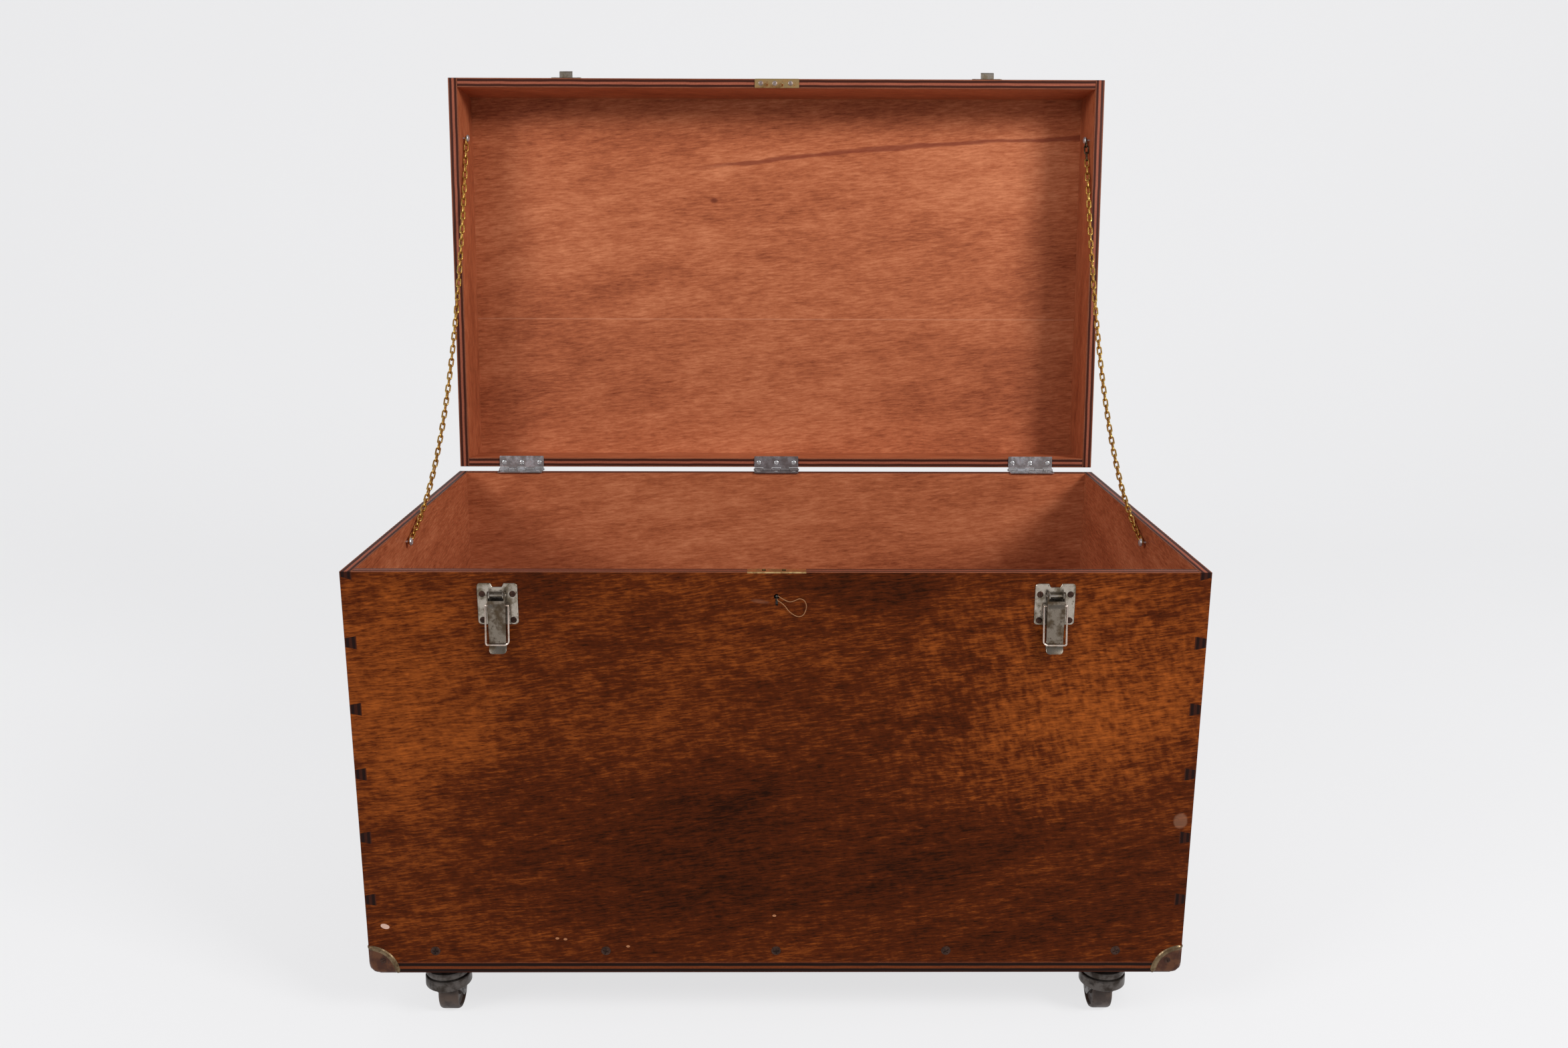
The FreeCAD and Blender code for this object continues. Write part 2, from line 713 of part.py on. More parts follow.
# Draw latches
def draw_latch(side, across):
    plate = body(f"{side}_latch_plate")
    half = size("latchwidth") / 2
    top = rim - size("latchdrop")
    bottom = top - size("latchtall")
    notch = size("notchwidth") / 2
    flare = notch + size("notchflare")
    skin = front - size("latchsheet")
    outline = bevelled(across - half, bottom, across + half, top, size("latchbevel"))
    pad(plate, "XZ", skin, front, outline[:5] + [
        (across + flare, top), (across + notch, top - size("notchdeep")),
        (across - notch, top - size("notchdeep")), (across - flare, top),
    ] + outline[5:])
    pivoty = front - size("leverpivotout")
    pivotz = rim - size("leverpivotdrop")
    ear = size("earradius")
    for way in (-1, 1):
        edges = [across + size("earhalf") * way, across + (size("earhalf") - size("latchsheet")) * way]
        low, high = (edges[1], edges[0]) if way > 0 else (edges[0], edges[1])
        pad(plate, "YZ", low, high, [
            (front - size("latchsheet") / 2, pivotz - ear), (front - size("latchsheet") / 2, pivotz + ear),
            (pivoty, pivotz + ear), (pivoty - ear, pivotz + ear / 2), (pivoty - ear, pivotz - ear / 2),
            (pivoty, pivotz - ear),
        ])
    pivotend = size("pivothalf")
    pad(plate, "YZ", across - pivotend, across + pivotend, polygon(pivoty, pivotz, size("pivotradius")))

    lever = body(f"{side}_latch_lever")
    outer = pivoty - size("leverweb")
    inner = outer + size("latchsheet")
    tip = pivotz - size("leverlong")
    webtop = pivotz - ear - size("eargap")
    pad(lever, "YZ", across - size("leverhalf"), across + size("leverhalf"), [
        (inner, webtop), (outer, webtop), (outer, tip + size("curltall")), (outer - size("levercurl"), tip),
        (inner - size("levercurl"), tip), (inner, tip + size("curltall")),
    ])
    heel = pivoty + size("flangeback")
    foot = tip + size("flangetip")
    for way in (-1, 1):
        edges = [across + size("leverhalf") * way, across + (size("leverhalf") - size("latchsheet")) * way]
        low, high = (edges[1], edges[0]) if way > 0 else (edges[0], edges[1])
        pad(lever, "YZ", low, high, [
            (outer, foot), (inner, foot), (pivoty, foot + size("flangetaper")),
            (heel, pivotz - size("flangeroot")), (heel, pivotz + ear / 2), (pivoty, pivotz + ear),
            (outer, pivotz + ear / 2),
        ])
    reachx = size("leverhalf") + size("pinend")
    bailz = pivotz - size("bailpivotdown")
    holes = [polygon(pivoty, pivotz, around(size("pivotradius"))),
             polygon(pivoty, bailz, around(size("wireradius"), 6))]
    pocket(lever, "YZ", across - reachx, across + reachx, *holes)

    bail = body(f"{side}_latch_bail")
    stub = size("earhalf") + size("bailrest") / 2
    spine = new_sketch(bail, "XZ", 0)
    leg = size("bailhalf")
    long = size("baillong")
    bend = size("bailbend")
    draw_outline(spine, [
        (-stub, 0), (-leg, 0), (-leg, bend - long), (bend - leg, -long),
        (leg - bend, -long), (leg, bend - long), (leg, 0), (stub, 0),
    ], closed=False)
    section = new_sketch(bail, "YZ", -stub)
    draw_outline(section, polygon(0, 0, size("wireradius"), 6))
    wire = bail.newObject("PartDesign::AdditivePipe", f"{bail.Name}_wire")
    wire.Profile = section
    wire.Spine = (spine, [f"Edge{i + 1}" for i in range(7)])
    wire.Transition = "Right corner"
    stand(bail, across, pivoty, bailz)
    forward = size("leverweb") + size("bailrest") + size("wireradius")
    bail.Placement.Rotation = FreeCAD.Rotation(FreeCAD.Vector(1, 0, 0), -5)
    bail.setExpression("Placement.Rotation.Angle", f"-asin(({forward.text}) / {size('baillong').text})")

    hook = body(f"{side}_latch_hook", lid=True)
    seat = lidrim - size("rimgap") + size("baillong") - size("leverpivotdrop") - size("bailpivotdown")
    seat = seat - size("wireradius") - size("hookseat")
    wide = size("strikewidth") / 2
    outline = bevelled(across - wide, lidrim + size("strikelift"), across + wide, lidrim + size("striketall"),
                       size("strikebevel"))
    tongue = lidrim + size("tonguelift")
    pad(hook, "XZ", lidfront - size("latchsheet"), lidfront, outline[:1] + [
        (across - size("hookhalf"), lidrim + size("strikelift")), (across - size("hookhalf"), tongue),
        (across + size("hookhalf"), tongue), (across + size("hookhalf"), lidrim + size("strikelift")),
    ] + outline[1:])
    nose = lidfront - size("hookproud")
    thick = size("hookthick")
    lip = seat + size("hooklip")
    pad(hook, "YZ", across - size("hookhalf"), across + size("hookhalf"), [
        (lidfront - size("latchsheet") / 2, seat - thick), (lidfront - size("latchsheet") / 2, seat),
        (nose + thick, seat), (nose + thick, lip), (nose, lip), (nose, seat), (nose + thick, seat - thick),
    ])


draw_latch("left", -latchacross)
draw_latch("right", latchacross)


# Corner protectors, each a three-way shell over the planed corner, trimmed to a quarter round on every face
def corner_protector(name, side, end):
    sheet_thick = size("cornersheet")
    radius = size("cornerradius")
    cornery = front if end < 0 else back
    foot = size("castorheight")
    x = halfwidth * side
    outx = x - radius if side > 0 else x - sheet_thick
    outy = cornery - sheet_thick if end < 0 else cornery - radius
    outside = radius + sheet_thick
    block = box(f"{name}_block", outx, outy, foot - sheet_thick, outside, outside, outside)
    inx = x - 2 * radius if side > 0 else x
    iny = cornery if end < 0 else cornery - 2 * radius
    wood = box(f"{name}_wood", inx, iny, foot, 2 * radius, 2 * radius, 2 * radius)
    eased = cut(f"{name}_eased_wood", wood, corner_nose(f"{name}_inner_nose", side, end))
    shell = cut(f"{name}_shell", block, eased, corner_nose(f"{name}_outer_nose", side, end, sheet_thick))
    rounds = []
    for i, (alongx, alongy, alongz) in enumerate(((1, 0, 0), (0, 1, 0), (0, 0, 1))):
        span = 2 * radius
        start = (x - span * alongx, cornery - span * alongy, foot - span * alongz)
        along = (alongx, alongy, alongz)
        rounds.append(prism(f"{name}_round_{i}", *start, radius, 2 * span, along, sides=16))
    made = doc.addObject("Part::MultiCommon", name)
    made.Shapes = [shell, *rounds]
    return label(made, name)


for side, sign in (("left", -1), ("right", 1)):
    corner_protector(f"{side}_front_corner", sign, -1)
    corner_protector(f"{side}_back_corner", sign, 1)


# Chains: links alternate between lying flat to the wall and standing across it, along the curve they hang in
def hang(span, rise, length):
    """The catenary of a length over a span and a rise: its parameter and the place of its low point."""
    wanted = math.sqrt(length**2 - rise**2) / span
    low, high = 0.01, 5.0
    for _ in range(60):
        middle = (low + high) / 2
        if math.sinh(middle) / middle < wanted:
            low = middle
        else:
            high = middle
    scale = span / (2 * low)
    centre = span / 2 - scale * math.atanh(rise / length)
    return scale, centre


def chain_link():
    """A link along X: a block with a straight slot, in which its neighbours' ends lie."""
    wire = size("chainwire").value
    half = (size("chainpitch") + size("chainslack")).value / 2
    wide = size("chainopen").value / 2
    corner = FreeCAD.Vector(-half - wire, -wide - wire, -wire / 2)
    block = Part.makeBox(2 * (half + wire), 2 * (wide + wire), wire, corner)
    slot = Part.makeBox(2 * half, 2 * wide, wire, FreeCAD.Vector(-half, -wide, -wire / 2))
    return block.cut(slot)


def chain(side, sign):
    reach_up = size("chainlidreach")
    deep = lidrim + size("chainliddeep")
    top_y = (axisy - reach_up * cosine(size("lidangle")) + deep * sine(size("lidangle"))).value
    top_z = (axisz + reach_up * sine(size("lidangle")) + deep * cosine(size("lidangle"))).value
    low_y = (front + size("chainboxback")).value
    low_z = (rim - size("chainboxdrop")).value
    pitch = size("chainpitch").value
    inset = pitch / 2 - size("shankradius").value
    wanted = math.hypot(top_y - low_y, top_z - low_z) * size("chainspare").value
    pairs = round((wanted - 2 * inset) / (2 * pitch))
    length = 2 * pairs * pitch + 2 * inset
    scale, centre = hang(top_y - low_y, top_z - low_z, length)
    start = scale * math.sinh(-centre / scale)
    across = sign * (inside - size("chainoffwall")).value
    link = chain_link()
    links = []
    for step in range(2 * pairs + 1):
        arc = start + inset + step * pitch
        along = scale * math.asinh(arc / scale)
        slope = math.sinh(along / scale)
        y = low_y + centre + along
        z = low_z + scale * (math.cosh(along / scale) - math.cosh(centre / scale))
        heading = FreeCAD.Vector(0, 1, slope).normalize()
        flat = FreeCAD.Vector(1, 0, 0) if step % 2 == 0 else heading.cross(FreeCAD.Vector(1, 0, 0))
        third = flat.cross(heading)
        turned = FreeCAD.Rotation(heading, third, flat, "XYZ")
        placed_link = link.copy()
        placed_link.Placement = FreeCAD.Placement(FreeCAD.Vector(across, y, z), turned)
        links.append(placed_link)
    made = doc.addObject("Part::Feature", f"{side}_chain")
    made.Shape = Part.makeCompound(links)
    label(made, f"{side}_chain")
    print(f"{side} chain: {len(links)} links, {length:.0f} mm")


chain("left", -1)
chain("right", 1)


# Castors
def castor(name, side, end):
    x = (halfwidth - size("castorside")) * side
    y = front + size("castorfront") if end < 0 else back - size("castorfront")
    top = size("castorheight")
    half = size("castorplate") / 2
    sheet_low = top - size("castorsheet")
    race_low = sheet_low - size("racetall")
    plate = body(f"{name}_castor_plate")
    pad(plate, "XY", sheet_low, top, rectangle(x - half, y - half, x + half, y + half))
    pad(plate, "XY", sheet_low - size("necktall"), sheet_low, polygon(x, y, size("neckradius"), 12))
    pad(plate, "XY", race_low, sheet_low - size("necktall"), polygon(x, y, size("raceradius"), 12))

    crown = race_low - size("runclear")
    sheet_thick = size("castorsheet")
    low = crown - size("skirttall")
    under = crown - sheet_thick
    inner = size("crownradius") - sheet_thick
    gap = size("wheelhalf") + size("wheelclear")
    axley = y + size("trail")
    axlez = size("wheelradius")
    boss = size("axleboss")
    fork = body(f"{name}_castor_fork")
    pad(fork, "XY", under, crown, polygon(x, y, size("crownradius"), 12))
    pad(fork, "XY", low, under, polygon(x, y, size("crownradius"), 12), polygon(x, y, inner, 12))
    pocket(fork, "XY", low, under, rectangle(x - gap, y - size("legfront"), x + gap, y + 2 * inner))
    for way in (-1, 1):
        face = x + gap if way > 0 else x - gap - sheet_thick
        pad(fork, "YZ", face, face + sheet_thick, [
            (y - size("legfront"), under), (y - size("legfront"), low), (axley - boss, axlez),
            (axley - boss / 2, axlez - boss), (axley + boss / 2, axlez - boss), (axley + boss, axlez),
            (y + size("legfront"), low), (y + size("legfront"), under),
        ])
    end = gap + sheet_thick + size("pinend")
    pad(fork, "YZ", x - end, x + end, polygon(axley, axlez, size("axleradius")))

    wheel = body(f"{name}_castor_wheel")
    tread = polygon(axley, axlez, size("wheelradius"), 48)
    pad(wheel, "YZ", x - size("wheelhalf"), x + size("wheelhalf"), tread)
    pocket(wheel, "YZ", x - end, x + end, polygon(axley, axlez, around(size("axleradius"))))


for side, sign in (("left", -1), ("right", 1)):
    castor(f"{side}_front", sign, -1)
    castor(f"{side}_back", sign, 1)


# Chest handles on the ends
def handle(name, side):
    plate = body(f"{name}_handle_plate")
    middle = (front + back) / 2
    pivotz = rim - size("handledrop")
    wall = halfwidth * side
    skin = wall + size("handlesheet") * side
    low, high = (wall, skin) if side > 0 else (skin, wall)
    long = size("handleplate") / 2
    tall = size("handletall") / 2
    pad(plate, "YZ", low, high,
        bevelled(middle - long, pivotz - tall, middle + long, pivotz + tall, size("handlebevel")))
    axisx = wall + size("handleaxisout") * side
    lug = size("lugradius")
    root = wall + size("handlesheet") * side / 2
    for way in (-1, 1):
        centre = middle + size("handlelug") * way
        foot = lug + size("lugfoot")
        tip = axisx + lug * side
        pad(plate, "XZ", centre - size("luglong") / 2, centre + size("luglong") / 2, [
            (root, pivotz - foot), (axisx, pivotz - lug), (tip, pivotz - lug / 2),
            (tip, pivotz + lug / 2), (axisx, pivotz + lug), (root, pivotz + foot),
        ])
    pocket(plate, "XZ", middle - long, middle + long, polygon(axisx, pivotz, around(size("gripradius"))))

    grip = body(f"{name}_handle_grip")
    end = size("handlelug") - size("luglong") / 2 - size("pinend")
    arm = size("griphalf")
    drop = size("gripdrop")
    bend = size("gripbend")
    spine = new_sketch(grip, "YZ", 0)
    draw_outline(spine, [
        (-end, 0), (-arm, 0), (-arm, bend - drop), (bend - arm, -drop),
        (arm - bend, -drop), (arm, bend - drop), (arm, 0), (end, 0),
    ], closed=False)
    section = new_sketch(grip, "XZ", -end)
    draw_outline(section, polygon(0, 0, size("gripradius")))
    rod = grip.newObject("PartDesign::AdditivePipe", f"{grip.Name}_rod")
    rod.Profile = section
    rod.Spine = (spine, [f"Edge{i + 1}" for i in range(7)])
    rod.Transition = "Right corner"
    stand(grip, axisx, middle, pivotz)


handle("left", -1)
handle("right", 1)


# Screw heads, seated on what they hold; many-sided here, because so many repeat
def heads(name, spots, radius, proud, sides=6, extras=(), lid=False):
    solids = list(extras)
    for i, (x, y, z, axis) in enumerate(spots):
        solids.append(prism(f"{name}_{i}", x, y, z, radius, proud, axis, sides))
    group = doc.addObject("Part::Compound", name)
    group.Links = solids
    label(group, name)
    return on_lid(group) if lid else group


def chain_screws(name, y, z):
    """Domed screws that hold the chain ends, each with its shank through the last link."""
    pieces = []
    shank = size("chainoffwall") + size("chainwire") / 2 + size("domeclear")
    tip = inside - shank
    for sign in (-1, 1):
        way = (-sign, 0, 0)
        pieces.append(fuse(
            f"{name}_{sign + 1}",
            prism(f"{name}_shank_{sign + 1}", inside * sign, y, z, size("shankradius"), shank, way),
            prism(f"{name}_dome_{sign + 1}", tip * sign, y, z, size("domeradius"), size("domeproud"), way),
        ))
    return pieces


row = []
for step in (-2, -1, 0, 1, 2):
    row.append((size("rowpitch") * step, front, rowz, (0, -1, 0)))
    row.append((size("rowpitch") * step, back, rowz, (0, 1, 0)))
for step in (-1, 0, 1):
    for sign in (-1, 1):
        row.append((halfwidth * sign, (front + back) / 2 + size("sidepitch") * step, rowz, (sign, 0, 0)))
heads("bottom_row_screws", row, size("rowhead"), size("rowproud"), sides=8)

fittings = []
latchtop = rim - size("latchdrop") - size("latchscrewtop")
latchlow = rim - size("latchdrop") - size("latchtall") + size("latchscrewlow")
inset = size("cornerscrew")
sheet_thick = size("cornersheet")
level = size("castorheight") + inset
for sign in (-1, 1):
    for way in (-1, 1):
        x = latchacross * sign + size("latchscrew") * way
        fittings.append((x, front - size("latchsheet"), latchtop, (0, -1, 0)))
        fittings.append((x, front - size("latchsheet"), latchlow, (0, -1, 0)))
        y = (front + back) / 2 + size("handlescrew") * way
        fittings.append(((halfwidth + size("handlesheet")) * sign, y, rim - size("handledrop"), (sign, 0, 0)))
    for end, face in ((-1, front), (1, back)):
        fittings.append(((halfwidth - inset) * sign, face + sheet_thick * end, level, (0, end, 0)))
        fittings.append(((halfwidth + sheet_thick) * sign, face - inset * end, level, (sign, 0, 0)))
hingescrews = [across + size("hingescrew") * step for across in hinges.values() for step in (-1, 0, 1)]
sunk = [
    prism(f"box_leaf_screw_{i}", x, back - leafmiddle, rim, size("screwradius"), size("leafsheet"), sides=6)
    for i, x in enumerate(hingescrews)
]
boxends = chain_screws("chain_box_screw", front + size("chainboxback"), rim - size("chainboxdrop"))
heads("fitting_screws", fittings, size("screwradius"), size("screwproud"), extras=sunk + boxends)

lidscrews = []
strikemiddle = lidrim + (size("strikelift") + size("striketall")) / 2
for sign in (-1, 1):
    for way in (-1, 1):
        x = latchacross * sign + size("strikescrew") * way
        lidscrews.append((x, lidfront - size("latchsheet"), strikemiddle, (0, -1, 0)))
lidsunk = [
    prism(f"lid_leaf_screw_{i}", x, lidback - leafmiddle, lidrim - size("leafsheet"), size("screwradius"),
          size("leafsheet"), sides=6)
    for i, x in enumerate(hingescrews)
]
for x in (-size("linkscrewleft"), -size("linkscrewmiddle"), size("linkscrewright")):
    lidscrews.append((x, lidfront + leafmiddle, lidrim - size("linkplate"), (0, 0, -1)))
lidends = chain_screws("chain_lid_screw", -size("chainlidreach"), lidrim + size("chainliddeep"))
heads("lid_screws", lidscrews, size("screwradius"), size("screwproud"), extras=lidsunk + lidends, lid=True)


doc.recompute()
for thing in doc.Objects:
    if "Invalid" in thing.State or "Error" in thing.State:
        raise RuntimeError(f"{thing.Label} failed: {thing.State}")
for node in nodes:
    if node.Shape.isNull() or not node.Shape.isValid():
        raise RuntimeError(f"{node.Label} has no valid shape")
for node in nodes:
    node.Shape.exportStep(f"parts/{node.Label}.step")
print(len(nodes), "pieces")
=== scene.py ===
import json
import math
import random

import bmesh
import bpy
from mathutils import Matrix, Vector


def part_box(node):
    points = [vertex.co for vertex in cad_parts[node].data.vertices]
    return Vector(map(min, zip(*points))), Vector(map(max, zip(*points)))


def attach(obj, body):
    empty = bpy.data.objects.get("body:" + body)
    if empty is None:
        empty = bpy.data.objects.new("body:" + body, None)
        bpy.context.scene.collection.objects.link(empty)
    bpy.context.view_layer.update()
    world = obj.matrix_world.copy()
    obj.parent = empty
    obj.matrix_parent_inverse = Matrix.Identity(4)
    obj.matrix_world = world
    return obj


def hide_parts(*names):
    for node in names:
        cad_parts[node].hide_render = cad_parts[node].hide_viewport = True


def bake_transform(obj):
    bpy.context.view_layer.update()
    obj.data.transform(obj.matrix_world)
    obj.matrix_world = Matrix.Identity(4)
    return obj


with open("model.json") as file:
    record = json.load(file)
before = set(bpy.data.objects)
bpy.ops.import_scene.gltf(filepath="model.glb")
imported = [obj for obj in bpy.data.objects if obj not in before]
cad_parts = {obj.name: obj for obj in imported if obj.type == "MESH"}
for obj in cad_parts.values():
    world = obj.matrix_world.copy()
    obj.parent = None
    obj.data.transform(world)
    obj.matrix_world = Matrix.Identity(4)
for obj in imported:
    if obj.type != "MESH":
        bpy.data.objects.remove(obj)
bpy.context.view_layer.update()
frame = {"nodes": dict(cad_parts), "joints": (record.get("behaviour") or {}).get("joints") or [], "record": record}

mm = 0.001
chance = random.Random(11)
nodes = frame["nodes"]
bodyOf = {node: body for body, group in frame["record"]["behaviour"]["bodies"].items() for node in group}
left, right = Vector((-1, 0, 0)), Vector((1, 0, 0))
ahead, behind = Vector((0, -1, 0)), Vector((0, 1, 0))
up, down = Vector((0, 0, 1)), Vector((0, 0, -1))
metres = Matrix.Scale(mm, 4)        # from a drawing in millimetres


def centreOf(node):
    low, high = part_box(node)
    return (low + high) / 2


def limits(spots):        # the low and high corners of some points
    return [Vector(limit(spot[i] for spot in spots) for i in range(3)) for limit in (min, max)]


def add(name, data):        # a new object in the scene
    made = bpy.data.objects.new(name, data)
    bpy.context.scene.collection.objects.link(made)
    return made


# Places that the pieces share, read from the frame
frontLow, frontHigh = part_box("front_panel")
half, front, back = frontHigh.x, frontLow.y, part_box("back_panel")[1].y
ply, rim, base = frontHigh.y - frontLow.y, frontHigh.z, frontLow.z
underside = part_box("bottom_panel")[0].z
inside = half - ply
middle = (front + back) / 2
hinge = Vector((0, *centreOf("middle_hinge_pin").yz))
lidJoint = next(joint for joint in frame["joints"] if joint["name"] == "lid_hinge")
openAngle = math.radians(-lidJoint["range_deg"][0])
lidPlace = Matrix.Translation(hinge) @ Matrix.Rotation(-openAngle, 4, "X")        # closed drawing to open lid
lidBack, lidFront, lidRim = back - hinge.y, front - hinge.y, hinge.z - rim
lidTop = max((lidPlace.inverted() @ vertex.co).z for vertex in nodes["lid_top_panel"].data.vertices)


# Shader maths
def feed(tree, value, slot):
    if isinstance(value, Wire):
        tree.links.new(value.socket, slot)
    elif slot.type == "RGBA" and len(value) == 3:
        slot.default_value = (*value, 1)
    else:
        slot.default_value = value


class Wire:        # an output socket that reads as a number in an expression
    def __init__(self, tree, socket):
        self.tree, self.socket = tree, socket

    def maths(self, operation, *values):
        made = self.tree.nodes.new("ShaderNodeMath")
        made.operation = operation
        for value, slot in zip(values, made.inputs):
            feed(self.tree, value, slot)
        return Wire(self.tree, made.outputs[0])


def operator(operation, swapped=False):
    def apply(self, other):
        return self.maths(operation, *((other, self) if swapped else (self, other)))
    return apply


for sign, operation in {"add": "ADD", "sub": "SUBTRACT", "mul": "MULTIPLY", "truediv": "DIVIDE"}.items():
    setattr(Wire, f"__{sign}__", operator(operation))
    setattr(Wire, f"__r{sign}__", operator(operation, swapped=True))


class Paint:        # one material, from its coordinates to its shader
    def __init__(self, name, coat=0.0, coatRoughness=0.2, specular=0.5):
        self.material = bpy.data.materials.new(name)
        self.material.use_nodes = True
        self.tree = self.material.node_tree
        self.tree.nodes.clear()
        self.shader = self.tree.nodes.new("ShaderNodeBsdfPrincipled")
        output = self.tree.nodes.new("ShaderNodeOutputMaterial")
        self.tree.links.new(self.shader.outputs[0], output.inputs[0])
        uniform = {"Coat Weight": coat, "Coat Roughness": coatRoughness, "Specular IOR Level": specular}
        for socket, value in uniform.items():
            self.shader.inputs[socket].default_value = value

    def node(self, kind, settings=None, inputs=None, output=0):
        made = self.tree.nodes.new("ShaderNode" + kind)
        for key, value in (settings or {}).items():
            if key != "stops":
                setattr(made, key, value)
                continue
            while len(made.color_ramp.elements) < len(value):
                made.color_ramp.elements.new(0.5)
            for stop, (spot, colour) in zip(made.color_ramp.elements, value):
                stop.position, stop.color = spot, (*colour, 1)
        for key, value in (inputs or {}).items():
            feed(self.tree, value, made.inputs[key])
        return Wire(self.tree, made.outputs[output])

    def surface(self, colour, roughness, height=None, depth=0.1, metallic=None):
        feed(self.tree, colour, self.shader.inputs["Base Color"])
        feed(self.tree, roughness, self.shader.inputs["Roughness"])
        if metallic is not None:
            feed(self.tree, metallic, self.shader.inputs["Metallic"])
        if height is not None:
            bump = self.node("Bump", inputs={"Strength": 1.0, "Distance": depth * mm, "Height": height})
            feed(self.tree, bump, self.shader.inputs["Normal"])
        return self.material

    def join(self, x, y, z):
        return self.node("CombineXYZ", inputs={0: x, 1: y, 2: z})

    def split(self, vector):
        return [self.node("SeparateXYZ", inputs={0: vector}, output=i) for i in range(3)]

    def cloud(self, vector, scale=1.0, detail=2.0, rough=0.5):
        inputs = {"Vector": vector, "Scale": scale, "Detail": detail, "Roughness": rough}
        return self.node("TexNoise", inputs=inputs)

    def band(self, value, low, high, bottom=0.0, top=1.0):        # a smooth step between two values
        inputs = {"Value": value, "From Min": low, "From Max": high, "To Min": bottom, "To Max": top}
        return self.node("MapRange", {"interpolation_type": "SMOOTHSTEP"}, inputs)

    def hill(self, value):        # 1 where the value is 0, falling to 0 where it is 1 or more away
        return self.band(value * value, 0.0, 1.0, 1.0, 0.0)

    def mix(self, factor, first, second, blend="MIX"):
        settings = {"data_type": "RGBA", "blend_type": blend}
        return self.node("Mix", settings, {0: factor, 6: first, 7: second}, output=2)

    def ramp(self, value, *stops):
        return self.node("ValToRGB", {"stops": stops}, {0: value})

    def spot(self, u, v, place, size, turn=0.0):        # 1 at place, falling to 0 at the edge of an ellipse
        du, dv = u - place[0], v - place[1]
        c, s = math.cos(turn), math.sin(turn)
        along = (du * c + dv * s) / size[0]
        across = (dv * c - du * s) / size[1]
        return self.band(along * along + across * across, 0.0, 1.0, 1.0, 0.0)


def tint(*screen):        # a screen colour of 0 to 255 as the shader wants it
    return tuple(((c / 255 + 0.055) / 1.055) ** 2.4 if c > 10 else c / 255 / 12.92 for c in screen)


# Veneers: bands, patches and mottle under short fibres. The patches are listed one by one: each has its place
# along and up from the middle of the board, its half sizes, its turn and how much lighter or darker it is
outsideLook = {
    "dark": tint(34, 12, 3), "mid": tint(80, 32, 8), "light": tint(158, 80, 28), "specular": 0.03,
    "coat": 0.025, "rough": 0.4, "slope": 0.27, "bow": -0.10, "lie": 0.11, "wander": 0.05,
    "band": (1.6, 15.0), "fibre": (62, 480.0),
    "amounts": {"band": 0.26, "patch": 0.27, "mottle": 0.42, "fibre": 1.0, "curl": 0.25, "pore": 0.2},
    "curled": ((0.31, 0.08), (0.26, 0.18), 0.2), "curlMore": 0.34,
    "patches": [
        (-0.40, 0.10, 0.15, 0.17, 0.1, 0.17), (-0.42, -0.08, 0.09, 0.17, 0.0, 0.08),
        (0.37, 0.13, 0.19, 0.13, 0.25, 0.14), (0.30, 0.02, 0.22, 0.09, 0.3, 0.10),
        (-0.10, 0.16, 0.22, 0.08, 0.1, 0.07), (-0.28, -0.18, 0.2, 0.05, 0.12, 0.06),
        (0.02, -0.10, 0.36, 0.12, 0.22, -0.15), (0.28, -0.15, 0.28, 0.11, 0.2, -0.12),
        (0.02, 0.06, 0.16, 0.09, 0.2, -0.06), (-0.15, -0.05, 0.22, 0.07, 0.25, -0.07),
        (0.09, 0.21, 0.10, 0.03, 0.0, -0.14), (-0.25, 0.21, 0.07, 0.03, 0.0, -0.1),
    ],
}
insideLook = {
    "dark": tint(118, 54, 31), "mid": tint(174, 97, 62), "light": tint(218, 140, 98), "specular": 0.1,
    "coat": 0.03, "rough": 0.5, "slope": 0.14, "bow": 0.10, "lie": 0.08, "wander": 0.03,
    "band": (1.6, 11.0), "fibre": (62, 420.0),
    "amounts": {"band": 0.4, "patch": 0.36, "mottle": 0.4, "fibre": 0.95, "curl": 0.1, "pore": 0.1},
    "patches": [
        (0.33, 0.12, 0.18, 0.12, 0.1, 0.10), (0.30, -0.17, 0.2, 0.1, 0.0, -0.07),
        (-0.30, -0.15, 0.2, 0.12, 0.1, -0.03), (0.0, -0.02, 0.3, 0.08, 0.1, 0.04),
    ],
}
toneStops = {"dark": 0.14, "mid": 0.5, "light": 0.96}
# How fine the rest of the figure is along the board and across it, and where the pores begin and are whole
figure = {"drift": (1.4, 2.2), "ripple": (9, 14), "patch": (7, 26), "mottle": (26, 85), "pore": (150, 1500)}
poreBand = (0.58, 0.74)
# Worn marks on the front: place, half sizes, turn, colour, where each fades in and is whole, and its strength
frontWear = {
    "rub": ((-0.0175, 0.196), (0.014, 0.0032), -0.12, tint(112, 84, 70), (0.15, 1.2), 0.3),
    "scuff": ((0.444, -0.055), (0.011, 0.013), 0.0, tint(150, 108, 84), (0.3, 0.8), 0.4),
    "chip": ((-0.4365, -0.183), (0.0066, 0.004), -0.3, tint(214, 176, 158), (0.28, 0.5), 0.9),
}
frontSpecks = {
    "places": ((-0.245, -0.198), (-0.236, -0.199), (-0.166, -0.208), (-0.002, -0.17)),
    "size": (0.003, 0.002), "tint": tint(190, 130, 90), "fade": (0.4, 0.6), "strength": 0.7,
}
# Marks inside the lid: a dark streak that rises and flattens, a small knot, and the seam between two leaves
lidMarks = {
    "streak": (0.1738, 0.1106, -0.0975), "streakHalf": 0.0045, "streakTint": tint(112, 44, 30),
    "streakFrom": (-0.14, -0.05), "streakStrength": 0.7, "ragged": 0.012,
    "knot": ((-0.092, 0.114), (0.007, 0.005)), "knotTint": tint(104, 46, 30), "knotStrength": 0.8,
    "seam": -0.0585, "seamHalf": 0.0012, "seamTint": tint(214, 150, 116), "seamStrength": 0.35,
}


